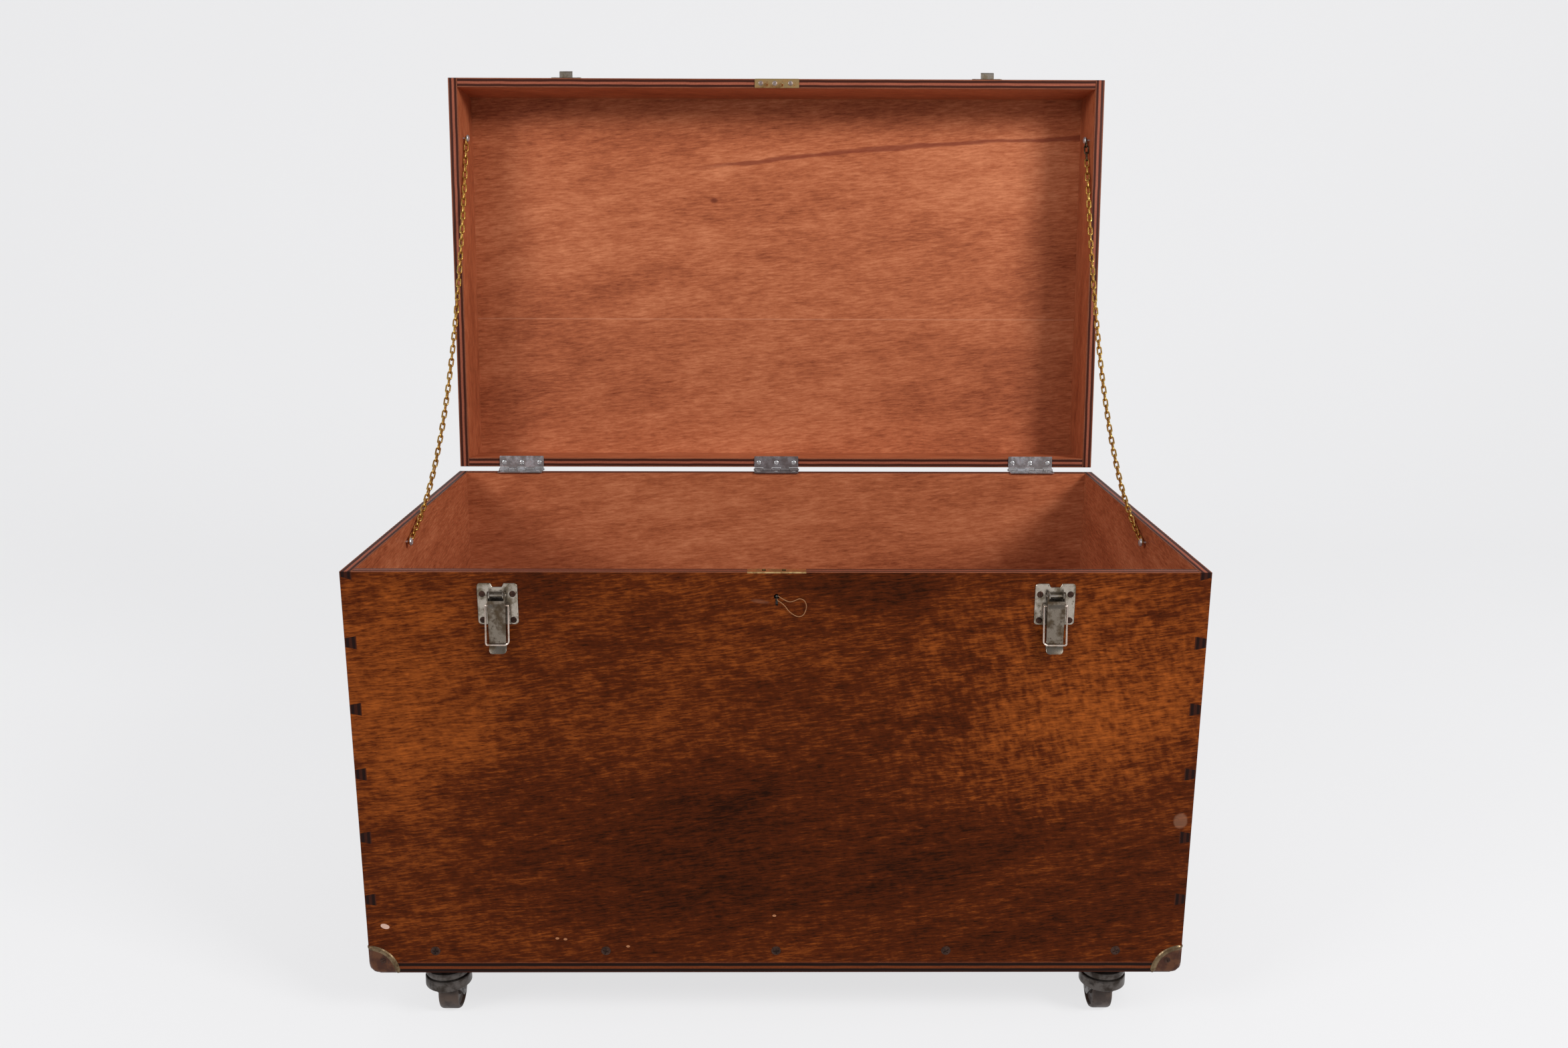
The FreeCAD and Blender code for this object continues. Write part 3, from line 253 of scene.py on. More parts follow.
def frontMarks(paint, colour, u, v):
    ragged = (paint.cloud(paint.join(u * 160, v * 160, 3.0), detail=3.0) - 0.5) * 0.5
    for place, size, turn, worn, fade, strength in frontWear.values():
        shown = paint.band(paint.spot(u, v, place, size, turn) + ragged, *fade)
        colour = paint.mix(shown * strength, colour, worn)
    for place in frontSpecks["places"]:
        shown = paint.band(paint.spot(u, v, place, frontSpecks["size"]), *frontSpecks["fade"])
        colour = paint.mix(shown * frontSpecks["strength"], colour, frontSpecks["tint"])
    return colour


def insideMarks(paint, colour, u, v):
    look = lidMarks
    level, rise, bend = look["streak"]
    ragged = (paint.cloud(paint.join(u * 14, v * 90, 5.0), detail=3.0) - 0.5) * look["ragged"]
    away = (v - level - u * rise - u * u * bend + ragged) / look["streakHalf"]
    shown = {
        "streak": paint.hill(away) * paint.band(u, *look["streakFrom"]),
        "knot": paint.spot(u, v, *look["knot"]),
        "seam": paint.hill((v - look["seam"]) / look["seamHalf"]),
    }
    for mark, share in shown.items():
        colour = paint.mix(share * look[mark + "Strength"], colour, look[mark + "Tint"])
    return colour


def veneer(name, look, decorate=None):
    amounts = look["amounts"]
    paint = Paint(name, coat=look["coat"], coatRoughness=0.3, specular=look["specular"])
    u, v, w = paint.split(paint.node("Attribute", {"attribute_name": "grain"}, output=1))
    seed = w * 7

    def figured(across, scales, **more):        # noise drawn out along the board
        return paint.cloud(paint.join(u * scales[0], across * scales[1], seed), **more)

    drift = figured(v, figure["drift"]) - 0.5
    ripple = figured(v, figure["ripple"]) - 0.5
    bent = v - u * look["slope"] + u * u * look["bow"] + drift * look["wander"]
    line = v - u * look["lie"] + drift * (look["wander"] * 0.6) + ripple * 0.008
    layers = {
        "band": figured(bent, look["band"]),
        "patch": figured(bent, figure["patch"]),
        "mottle": figured(line, figure["mottle"], detail=3.0, rough=0.6),
        "fibre": figured(line, look["fibre"], detail=4.0, rough=0.7),
        "curl": paint.cloud(paint.join(u * 150 + v * 50, line * 75, seed)),
    }
    tone = 0.5
    for layer, cloud in layers.items():
        tone = (cloud - 0.5) * amounts[layer] + tone
    if decorate:
        if "curled" in look:
            tone = (layers["curl"] - 0.5) * paint.spot(u, v, *look["curled"]) * look["curlMore"] + tone
        for x, z, wide, tall, turn, amount in look["patches"]:
            tone = tone + paint.spot(u, v, (x, z), (wide, tall), turn) * amount
    pores = paint.band(figured(line, figure["pore"], detail=1.0), *poreBand)
    stops = [(spot, look[shade]) for shade, spot in toneStops.items()]
    colour = paint.ramp(tone - pores * amounts["pore"], *stops)
    if decorate:
        colour = decorate(paint, colour, u, v)
    rough = look["rough"] + (layers["fibre"] - 0.5) * 0.2 + (layers["mottle"] - 0.5) * 0.15
    return paint.surface(colour, rough, layers["fibre"] - pores * 0.6, 0.05)


# Plywood seen on edge, in five layers from the outer face to the inner one, as shares of its thickness
plyLayers = [
    ("face", 0.0, 0.10), ("cross", 0.14, 0.36), ("core", 0.41, 0.62), ("cross", 0.67, 0.88), ("face", 0.92),
]
edgeLook = {
    "rim": {"face": tint(150, 88, 62), "cross": tint(72, 34, 24), "core": tint(170, 96, 72)},
    "joint": {"face": tint(74, 33, 16), "cross": tint(34, 14, 9), "core": tint(60, 26, 14)},
    "foot": {"face": tint(70, 32, 16), "cross": tint(30, 13, 8), "core": tint(120, 58, 26)},
}
white = (1, 1, 1)


def plyEdge(name, look):
    paint = Paint(name, coat=0.02, coatRoughness=0.35, specular=0.08)
    u, v, w = paint.split(paint.node("Attribute", {"attribute_name": "grain"}, output=1))
    waver = (paint.cloud(paint.join(u * 30, v * 30, 1.0)) - 0.5) * 0.0012
    depth = ((w * 10).maths("FRACT", w * 10) / 10 + waver) / ply
    colour = paint.ramp(depth, *[(spot, look[layer]) for layer, *ends in plyLayers for spot in ends])
    long = paint.cloud(paint.join(u * 22, v * 22, w * 1500), detail=3.0, rough=0.6)
    short = paint.cloud(paint.join(u * 420, v * 420, w * 700))
    longShade = paint.ramp(long, (0.3, (0.45, 0.42, 0.4)), (0.6, white))
    shortShade = paint.ramp(short, (0.25, (0.5, 0.45, 0.45)), (0.75, white))
    colour = paint.mix(0.75, colour, longShade, "MULTIPLY")
    colour = paint.mix(0.5, colour, shortShade, "MULTIPLY")
    return paint.surface(colour, 0.55 + (short - 0.5) * 0.2, short, 0.06)


frontWood = veneer("frontVeneer", outsideLook, frontMarks)
outsideWood = veneer("outsideVeneer", outsideLook)
insideWood = veneer("insideVeneer", insideLook)
lidWood = veneer("lidVeneer", insideLook, insideMarks)
rimPly, jointPly, footPly = [plyEdge(f"{name}Ply", look) for name, look in edgeLook.items()]
print("woods mixed")

# Metals: clean where they are rubbed, dull in patches, stained in spots, with fine grain between. Each has
# those three screen colours, its roughness clean and dull, how fine the patches are, where they begin and how
# metallic it is
metalLook = {
    "brass": ((214, 182, 128), (158, 120, 76), (84, 56, 34), (0.28, 0.5), 90, 0.5, 0.95),
    "goldChain": ((226, 188, 104), (170, 122, 54), (82, 52, 24), (0.25, 0.45), 160, 0.5, 0.95),
    "darkChain": ((110, 92, 70), (58, 46, 36), (30, 24, 20), (0.35, 0.55), 160, 0.55, 0.9),
    "latchPlate": ((186, 176, 164), (116, 104, 86), (50, 38, 28), (0.22, 0.42), 75, 0.53, 0.92),
    "latchLever": ((134, 124, 112), (84, 70, 54), (50, 36, 26), (0.25, 0.45), 90, 0.52, 0.92),
    "latchWire": ((232, 214, 200), (176, 152, 130), (96, 70, 50), (0.18, 0.34), 120, 0.6, 0.95),
    "hingeNickel": ((236, 234, 236), (158, 152, 150), (92, 78, 66), (0.14, 0.32), 90, 0.48, 0.85),
    "dullNickel": ((196, 190, 190), (134, 124, 122), (80, 66, 56), (0.2, 0.36), 90, 0.5, 0.85),
    "linkSteel": ((176, 160, 152), (136, 116, 108), (88, 68, 58), (0.35, 0.5), 160, 0.5, 0.8),
    "brownSteel": ((74, 48, 36), (46, 28, 20), (26, 15, 11), (0.4, 0.6), 200, 0.5, 0.7),
    "zinc": ((244, 246, 248), (204, 204, 204), (104, 94, 82), (0.2, 0.34), 160, 0.35, 0.7),
    "cornerField": ((98, 60, 36), (70, 38, 24), (42, 20, 14), (0.38, 0.55), 90, 0.5, 0.6),
    "cornerRim": ((132, 112, 84), (88, 68, 46), (50, 34, 22), (0.32, 0.5), 120, 0.5, 0.85),
    "castorIron": ((96, 90, 86), (52, 44, 38), (28, 22, 18), (0.35, 0.55), 70, 0.55, 0.75),
    "tread": ((74, 56, 44), (48, 34, 26), (28, 20, 16), (0.45, 0.6), 60, 0.5, 0.0),
    "handleIron": ((132, 116, 92), (80, 64, 48), (40, 30, 22), (0.35, 0.55), 60, 0.5, 0.8),
}
wear = {"grain": 1400, "edge": 0.12, "stains": (0.6, 0.72), "stained": 0.7}


def metal(name, look):
    clean, dull, stain = [tint(*screen) for screen in look[:3]]
    (low, high), fine, share, metallic = look[3:]
    paint = Paint(name)
    place = paint.node("TexCoord", output="Object")
    patch = paint.cloud(place, fine, 4.0, 0.6)
    grain = paint.cloud(place, wear["grain"])
    spots = paint.band(paint.cloud(place, fine * 4, 3.0), *wear["stains"])
    worn = paint.band(patch, share - wear["edge"], share + wear["edge"])
    colour = paint.mix(worn, clean, dull)
    colour = paint.mix(spots * wear["stained"], colour, stain)
    colour = paint.mix((grain - 0.5) * 0.5 + 0.2, colour, dull)
    rough = low + worn * (high - low) + spots * 0.15 + (grain - 0.5) * 0.1
    return paint.surface(colour, rough, grain + patch * 2, 0.02, metallic=metallic - spots * 0.3)


metals = {name: metal(name, look) for name, look in metalLook.items()}
print("metals mixed")


# Drawing: pieces are drawn in millimetres in a frame of their own, x right, y up and z out of the face
def facing(origin, out, above):
    turned = Matrix((above.cross(out), above, out)).transposed().to_4x4()
    return Matrix.Translation(origin) @ turned @ metres


def rounded(corners, steps=4, closed=True):        # corners (x, y) or (x, y, radius), as points with arcs
    spots = [Vector(corner[:2]) for corner in corners]
    points = []
    for i, corner in enumerate(corners):
        atEnd = not closed and i in (0, len(corners) - 1)
        if atEnd or len(corner) < 3 or corner[2] == 0:
            points.append(spots[i])
            continue
        before = (spots[i - 1] - spots[i]).normalized()
        after = (spots[(i + 1) % len(spots)] - spots[i]).normalized()
        bend = before.angle(after) / 2
        centre = spots[i] + (before + after).normalized() * (corner[2] / math.sin(bend))
        start = spots[i] + before * (corner[2] / math.tan(bend)) - centre
        end = spots[i] + after * (corner[2] / math.tan(bend)) - centre
        sweep = math.atan2(start.x * end.y - start.y * end.x, start.dot(end))
        for step in range(steps + 1):
            turn = sweep * step / steps
            c, s = math.cos(turn), math.sin(turn)
            points.append(centre + Vector((start.x * c - start.y * s, start.x * s + start.y * c)))
    return points


def circle(x, y, radius, steps=24):
    turns = [2 * math.pi * step / steps for step in range(steps)]
    return [Vector((x + radius * math.cos(turn), y + radius * math.sin(turn))) for turn in turns]


def rectangle(wide, low, high, radius):        # its half width, where it starts and ends, and its corners
    return rounded([(-wide, low, radius), (wide, low, radius), (wide, high, radius), (-wide, high, radius)])


def mirrored(profile):        # half a turned profile, and the other half after it
    return profile + [(radius, -across) for radius, across in reversed(profile)]


def inset(loop, amount):        # an outline drawn anticlockwise, moved inwards
    result = []
    for i, point in enumerate(loop):
        before = (point - loop[i - 1]).normalized()
        after = (loop[(i + 1) % len(loop)] - point).normalized()
        first, second = Vector((-before.y, before.x)), Vector((-after.y, after.x))
        miter = (first + second).normalized()
        result.append(point + miter * (amount / max(0.5, miter.dot(first))))
    return result


class Shape:        # a mesh in the making
    def __init__(self, place=Matrix()):
        self.mesh = bmesh.new()
        self.place = place

    def skin(self, rows, ring=False, loop=False, caps=False, place=Matrix(), paint=0):
        spot = self.place @ place
        made = [[self.mesh.verts.new(spot @ Vector(point)) for point in row] for row in rows]
        faces = []
        for i in range(len(made) - (not loop)):
            first, second = made[i], made[(i + 1) % len(made)]
            for j in range(len(first) - (not ring)):
                k = (j + 1) % len(first)
                faces.append(self.mesh.faces.new((first[j], first[k], second[k], second[j])))
        if caps:
            faces.append(self.mesh.faces.new(made[0][::-1]))
            faces.append(self.mesh.faces.new(made[-1]))
        for face in faces:
            face.material_index = paint

    def lathe(self, profile, steps=24, place=Matrix(), start=0.0, sweep=360.0, ring=False):
        whole = sweep == 360.0
        turns = [math.radians(start + sweep * step / steps) for step in range(steps + (not whole))]
        rows = [[(radius * math.cos(t), radius * math.sin(t), z) for radius, z in profile] for t in turns]
        self.skin(rows, ring=ring, loop=whole, caps=not whole, place=place)

    def tube(self, path, radius, sides=10, loop=False, place=Matrix()):        # along a path in the xy plane
        rows = []
        for i, point in enumerate(path):
            before = path[i - 1] if loop or i else point
            after = path[(i + 1) % len(path)] if loop or i < len(path) - 1 else point
            along = (after - before).normalized()
            side = Vector((along.y, -along.x, 0))
            rows.append([])
            for step in range(sides):
                turn = 2 * math.pi * step / sides
                rows[-1].append(point.to_3d() + (side * math.cos(turn) + up * math.sin(turn)) * radius)
        self.skin(rows, ring=True, loop=loop, caps=not loop, place=place)

    def slab(self, outline, low, high, ease=0.2, holes=(), place=Matrix()):
        levels = [(low, ease), (low + ease, 0), (high - ease, 0), (high, ease)]
        loops = [(outline, 1)] + [(hole, -1) for hole in holes]
        for height, amount in (levels[0], levels[-1]):
            edges = []
            for loop, way in loops:
                points = [(*point, height) for point in inset(loop, amount * way)]
                spots = [self.mesh.verts.new(self.place @ place @ Vector(point)) for point in points]
                edges += [self.mesh.edges.new((spots[i - 1], spots[i])) for i in range(len(spots))]
            bmesh.ops.triangle_fill(self.mesh, edges=edges, use_beauty=True)
        for loop, way in loops:
            rows = [[(*point, height) for point in inset(loop, amount * way)] for height, amount in levels]
            self.skin(rows, ring=True, place=place)

    def strap(self, path, widths, thick, ease=0.2, place=Matrix()):        # sheet bent along a path in yz
        rows = []
        for i, point in enumerate(path):
            along = (path[min(i + 1, len(path) - 1)] - path[max(i - 1, 0)]).normalized()
            normal = Vector((0, along.y, -along.x))
            wide, deep = widths[i], thick / 2
            below = [(-wide, ease - deep), (ease - wide, -deep), (wide - ease, -deep), (wide, ease - deep)]
            section = below + [(-x, -d) for x, d in below]
            rows.append([Vector((x, point.x, point.y)) + normal * d for x, d in section])
        self.skin(rows, ring=True, caps=True, place=place)

    def stamp(self, data, place=Matrix(), paint=0):        # a copy of a finished mesh
        count, faces = len(self.mesh.verts), len(self.mesh.faces)
        self.mesh.from_mesh(data)
        self.mesh.verts.ensure_lookup_table()
        self.mesh.faces.ensure_lookup_table()
        bmesh.ops.transform(self.mesh, matrix=self.place @ place, verts=self.mesh.verts[count:])
        for face in self.mesh.faces[faces:]:
            face.material_index = paint

    def groove(self, half, reach, floor, slope=0.08, near=0.01):        # a slot along y, pressed in from z
        mesh = self.mesh
        for axis, width in ((right, half), (right, half + slope), (behind, reach), (behind, reach + slope)):
            for way in (-1, 1):
                everything = mesh.verts[:] + mesh.edges[:] + mesh.faces[:]
                bmesh.ops.bisect_plane(mesh, geom=everything, plane_co=axis * width * way, plane_no=axis)
        for vertex in mesh.verts:
            if abs(vertex.co.x) < half + near and abs(vertex.co.y) < reach + near:
                vertex.co.z = min(vertex.co.z, floor)

    def asMesh(self, name, sharp=32.0, merge=2e-6):
        bmesh.ops.remove_doubles(self.mesh, verts=self.mesh.verts, dist=merge)
        bmesh.ops.recalc_face_normals(self.mesh, faces=self.mesh.faces)
        for face in self.mesh.faces:
            face.smooth = True
        for edge in self.mesh.edges:
            edge.smooth = not edge.is_manifold or edge.calc_face_angle() < math.radians(sharp)
        data = bpy.data.meshes.new(name)
        self.mesh.to_mesh(data)
        self.mesh.free()
        return data

    def finish(self, node, paints, sharp=32.0, ride=True):
        words = node.split("_")
        name = words[0] + "".join(word.capitalize() for word in words[1:])
        piece = add(name, self.asMesh(name, sharp))
        for paint in paints:
            piece.data.materials.append(paint)
        if ride:
            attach(piece, bodyOf[node])
        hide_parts(node)
        return piece


# Boards: each is the frame's own board with its arrises eased, faced by veneer and edged by ply
boardLook = {"ease": 0.6, "near": 0.02, "square": 0.9, "slant": 0.6}
boxFaces = [(2, rim), (0, half), (1, front), (1, back), (2, underside), (2, base)]
boxInner = [(0, inside), (1, front + ply), (1, back - ply)]
lidFaces = [(2, lidRim), (0, half), (1, lidFront), (1, lidBack), (2, lidTop)]
lidInner = [(0, inside), (1, lidFront + ply), (1, lidBack - ply)]


def planesAt(edge, planes):        # which of the planes hold the whole edge
    near = boardLook["near"] * mm
    held = set()
    for i, (axis, level) in enumerate(planes):
        values = [vertex.co[axis] for vertex in edge.verts]
        if all(abs((abs(value) if axis == 0 else value) - level) < near for value in values):
            held.add(i)
    return held


def dressBoard(node, number, paints, along, above, out, lid=False):
    place = lidPlace if lid else Matrix()
    outer, inner = (lidFaces, lidInner) if lid else (boxFaces, boxInner)
    shape = Shape()
    mesh = shape.mesh
    mesh.from_mesh(nodes[node].data)
    bmesh.ops.transform(mesh, matrix=place.inverted(), verts=mesh.verts)
    bmesh.ops.remove_doubles(mesh, verts=mesh.verts, dist=0.01 * mm)
    bmesh.ops.dissolve_limit(mesh, angle_limit=math.radians(1), verts=mesh.verts, edges=mesh.edges)
    eased = []
    for edge in mesh.edges:
        faces = planesAt(edge, outer)
        if len(faces) > 1 or (0 in faces and planesAt(edge, inner)):
            eased.append(edge)
    bmesh.ops.bevel(mesh, geom=eased, offset=boardLook["ease"] * mm, segments=2, affect="EDGES", profile=0.5)
    bmesh.ops.recalc_face_normals(mesh, faces=mesh.faces)
    spots = [vertex.co for vertex in mesh.verts]
    lows, highs = limits(spots)
    centre, level = (lows + highs) / 2, max(spot.dot(out) for spot in spots)
    for face in mesh.faces:        # outer face, inner face, long edge or end
        outwards = face.normal.dot(out)
        if abs(outwards) > boardLook["square"]:
            face.material_index = 0 if outwards > 0 else 1
        else:
            face.material_index = 2 if abs(face.normal.dot(along)) < boardLook["slant"] else 3
    grain = []
    for spot in spots:
        depth = min(max(level - spot.dot(out), 0.0), ply)
        grain.append(((spot - centre).dot(along), (spot - centre).dot(above), number * 0.1 + depth))
    bmesh.ops.transform(mesh, matrix=place, verts=mesh.verts)
    piece = shape.finish(node, paints, sharp=25)
    attribute = piece.data.attributes.new("grain", "FLOAT_VECTOR", "POINT")
    for item, value in zip(attribute.data, grain):
        item.vector = value


outsidePaints = [outsideWood, insideWood, rimPly, jointPly]
dressBoard("front_panel", 1, [frontWood, insideWood, rimPly, jointPly], right, up, ahead)
dressBoard("back_panel", 2, outsidePaints, right, up, behind)
dressBoard("left_end_panel", 3, outsidePaints, behind, up, left)
dressBoard("right_end_panel", 4, outsidePaints, behind, up, right)
dressBoard("bottom_panel", 5, [outsideWood, insideWood, footPly, footPly], right, behind, down)
dressBoard("lid_top_panel", 6, [outsideWood, lidWood, footPly, footPly], right, ahead, up, lid=True)
dressBoard("lid_front_rail", 7, outsidePaints, right, up, ahead, lid=True)
dressBoard("lid_back_rail", 8, outsidePaints, right, up, behind, lid=True)
dressBoard("lid_left_rail", 9, outsidePaints, behind, up, left, lid=True)
dressBoard("lid_right_rail", 10, outsidePaints, behind, up, right, lid=True)
for number, node in enumerate(("front_cleat", "back_cleat", "left_cleat", "right_cleat"), 11):
    lengthways = right if number < 13 else behind
    dressBoard(node, number, [insideWood] * 4, lengthways, up, lengthways.cross(up))
print("boards dressed")


def islands(node, place=Matrix()):        # the separate solids of a node, each as its points
    mesh = bmesh.new()
    mesh.from_mesh(nodes[node].data)
    bmesh.ops.transform(mesh, matrix=place.inverted(), verts=mesh.verts)
    bmesh.ops.remove_doubles(mesh, verts=mesh.verts, dist=0.001 * mm)
    groups, seen = [], set()
    for vertex in mesh.verts:
        if vertex in seen:
            continue
        group, waiting = [], [vertex]
        seen.add(vertex)
        while waiting:
            spot = waiting.pop()
            group.append(spot.co.copy())
            for edge in spot.link_edges:
                other = edge.other_vert(spot)
                if other not in seen:
                    seen.add(other)
                    waiting.append(other)
        groups.append(group)
    mesh.free()
    return groups


# Screw heads: each kind is drawn once, slotted or crossed, and stamped where the frame's own heads are
screwLook = {
    "row": {"radius": 5.3, "edge": 0.3, "proud": 1.0, "slot": (0.6, 3.4, 0.25), "cross": True},
    "fitting": {"radius": 3.4, "edge": 0.2, "proud": 0.8, "slot": (0.42, 6.0, 0.25)},
    "hinge": {"radius": 3.4, "edge": 0.7, "proud": 1.6, "slot": (0.45, 2.2, 0.9), "cross": True},
    "chainEnd": {"radius": 5.0, "edge": 0.4, "proud": 3.0, "slot": (0.55, 2.8, 2.0), "cross": True,
                 "shank": (1.3, 5.6)},
}
screwPaints = ["brownSteel", "zinc", "linkSteel"]


def screwHead(name, look):
    shape = Shape()
    shank = look.get("shank")
    radius, edge, proud = look["radius"], look["edge"], look["proud"]
    profile = [(0.0, -shank[1]), (shank[0], -shank[1]), (shank[0], 0.0)] if shank else [(0.0, 0.0)]
    profile.append((radius, 0.0))
    for turn in [math.pi / 2 * step / 7 for step in range(8)]:
        profile.append((radius * math.cos(turn), edge + (proud - edge) * math.sin(turn)))
    shape.lathe(profile, 28)
    bmesh.ops.remove_doubles(shape.mesh, verts=shape.mesh.verts, dist=0.002)
    shape.groove(*look["slot"])
    if "cross" in look:
        quarter = Matrix.Rotation(math.pi / 2, 3, "Z")
        bmesh.ops.rotate(shape.mesh, cent=(0, 0, 0), matrix=quarter, verts=shape.mesh.verts)
        shape.groove(*look["slot"])
    return shape.asMesh(name + "Head", merge=0.002)


screwHeads = {name: screwHead(name, look) for name, look in screwLook.items()}


def drive(node, kindOf, lid=False):        # kindOf gives a screw's head and paint from its place and axis
    place = lidPlace if lid else Matrix()
    core = Vector((0, (lidFront + lidBack) / 2 if lid else middle, 0))
    shape = Shape(place)
    for group in islands(node, place):
        lows, highs = limits(group)
        size, centre = highs - lows, (lows + highs) / 2
        inward = node != "bottom_row_screws" and max(size) > 8 * mm        # a chain's end, the one long screw
        axis = 0 if inward else min(range(3), key=lambda i: size[i])
        out = Vector((0, 0, 0))
        out[axis] = -1 if (lid if axis == 2 else (centre[axis] < core[axis]) != inward) else 1
        kind, paint = ("chainEnd", "zinc") if inward else kindOf(centre, axis)
        sunk = screwLook[kind]["proud"] * mm if inward else size[axis]
        seat = centre + out * (size[axis] / 2 - sunk)
        above = behind if axis == 2 else up
        turned = facing(seat, out, above) @ Matrix.Rotation(chance.uniform(0, math.pi), 4, "Z")
        shape.stamp(screwHeads[kind], turned, screwPaints.index(paint))
    shape.finish(node, [metals[name] for name in screwPaints])


def rowScrew(centre, axis):
    return "row", "brownSteel"


def boxScrew(centre, axis):
    return ("hinge", "zinc") if axis == 2 else ("fitting", "brownSteel")


def lidScrew(centre, axis):        # of a hook, a hinge or the link plate
    if axis == 1:
        return "fitting", "brownSteel"
    return ("hinge", "zinc") if centre.y > lidFront / 2 else ("fitting", "linkSteel")


drive("bottom_row_screws", rowScrew)
drive("fitting_screws", boxScrew)
drive("lid_screws", lidScrew, lid=True)
print("screws driven")

# Butt hinges, drawn about their own pins: x along the pin, y behind, z up
hingeLook = {
    "long": 63.5, "sheet": 1.6, "rimGap": 3.4, "inner": -19.4, "notch": -3.2, "knuckle": 2.9, "bore": 1.38,
    "gap": 0.1, "ease": 0.4, "hole": 3.7, "holes": 25.4, "holeLine": -10.05, "corner": 1.0,
}


def hingeLeaf(node, across, low, knuckles, place):
    look = hingeLook
    shape = Shape(place @ Matrix.Translation((across, 0, 0)) @ metres)
    end, step, gap = look["long"] / 2, look["long"] / 5, look["gap"]
    knuckle, bore, ease = look["knuckle"], look["bore"], look["ease"]
    corners = [(-end, look["inner"], look["corner"]), (end, look["inner"], look["corner"])]
    if 4 not in knuckles:
        corners.append((end, look["notch"], look["corner"]))
    for number in sorted(knuckles, reverse=True):
        first, last = step * number - end + gap, step * (number + 1) - end - gap
        corners += [(last, look["notch"]), (last, 0), (first, 0), (first, look["notch"])]
        profile = [(bore, first), (knuckle - ease, first), (knuckle, first + ease)]
        profile += [(knuckle, last - ease), (knuckle - ease, last), (bore, last)]
        shape.lathe(profile, 28, Matrix.Rotation(math.pi / 2, 4, "Y"), ring=True)
    if 0 not in knuckles:
        corners.append((-end, look["notch"], look["corner"]))
    holes = [circle(look["holes"] * way, look["holeLine"], look["hole"]) for way in (-1, 0, 1)]
    shape.slab(rounded(corners), low, low + look["sheet"], 0.2, holes)
    shape.finish(node, [metals["hingeNickel"] if across else metals["dullNickel"]])


for side in ("left", "middle", "right"):
    across = centreOf(f"{side}_hinge_pin").x
    gap = hingeLook["rimGap"] / 2
    hingeLeaf(f"{side}_hinge_box_leaf", across, -gap, (0, 2, 4), Matrix.Translation(hinge))
    hingeLeaf(f"{side}_hinge_lid_leaf", across, gap - hingeLook["sheet"], (1, 3), lidPlace)
print("hinges hung")

# Draw latches: plate and ears, channel lever, wire bail, and the hook on the lid that the bail pulls down
latchLook = {
    "plate": {"top": -12.3, "tall": 45.0, "half": 21.2, "sheet": 1.2, "corner": 3.6, "notch": 5.0,
              "flare": 7.0, "deep": 4.0},
    "pivot": {"out": 6.0, "up": -24.0, "ear": 4.2, "earHalf": 8.0, "rivet": 1.5, "rivetHalf": 10.5},
    "lever": {
        "half": 9.4, "web": 10.1, "sheet": 1.2, "heel": 3.0, "top": -29.2, "tip": -86.0, "curl": 3.5,
        "curlTall": 8.0, "round": 3.2, "bend": 1.5, "flange": ((-39.0, 7.1), (-68.0, 4.1), (-74.0, 1.35)),
        "step": (-34.0, -30.5, 0.45), "dimples": (-4.4, 4.0), "dimpleUp": -38.6,
        "rows": [-31.0, -33.6, -34.6] + [-39.0 - 3.5 * row for row in range(9)]
        + [-70.5, -72.5, -74.0, -76.0, -78.0, -79.6, -81.2, -82.6, -83.6, -84.4, -85.0, -85.5, -85.85],
    },
    "bail": {"up": -35.0, "stub": 8.2, "half": 12.0, "long": 42.0, "wire": 1.05, "lean": 5.5, "tight": 1.6,
             "loose": 4.6, "elbow": 1.2},
    "hook": {"strikeHalf": 21.0, "low": 2.0, "high": 13.0, "bevel": 4.0, "half": 9.0, "shelf": 1.55,
             "out": 8.9, "lip": 6.25, "sheet": 1.4, "strike": 1.2, "tongue": 0.5, "taper": 1.5},
}


def latchPlate(side, place, sideways):
    look, pivot = latchLook["plate"], latchLook["pivot"]
    shape = Shape()
    half, top, bottom, corner = look["half"], look["top"], look["top"] - look["tall"], look["corner"]
    flare, notch, floor = look["flare"], look["notch"], look["top"] - look["deep"]
    rightSide = [(half, bottom, corner), (half, top, corner), (flare, top, 1.6), (notch, floor, 1.0)]
    leftSide = [(-x, *rest) for x, *rest in reversed(rightSide)]
    outline = rounded([leftSide[-1], *rightSide, *leftSide[:-1]])
    shape.slab(outline, 0.0, look["sheet"], 0.45, place=place)
    out, above, ear = pivot["out"], pivot["up"], pivot["ear"]
    corners = [(0.4, above - ear), (out + ear, above - ear, ear - 0.1), (out + ear, above + ear, ear - 0.1),
               (0.4, above + ear)]
    for low in (-pivot["earHalf"], pivot["earHalf"] - look["sheet"]):
        shape.slab(rounded(corners, 6), low, low + look["sheet"], 0.3, place=sideways)
    end, rivet = pivot["rivetHalf"], pivot["rivet"]
    profile = mirrored([(0.0, -end), (rivet * 0.7, 0.2 - end), (rivet, 0.7 - end)])
    shape.lathe(profile, 20, sideways @ Matrix.Translation((out, above, 0)))
    shape.finish(f"{side}_latch_plate", [metals["latchPlate"]])


def between(table, value):        # straight lines through a falling table of (place, amount)
    if value >= table[0][0]:
        return table[0][1]
    for (first, start), (last, end) in zip(table, table[1:]):
        if value >= last:
            return start + (end - start) * (first - value) / (first - last)
    return table[-1][1]


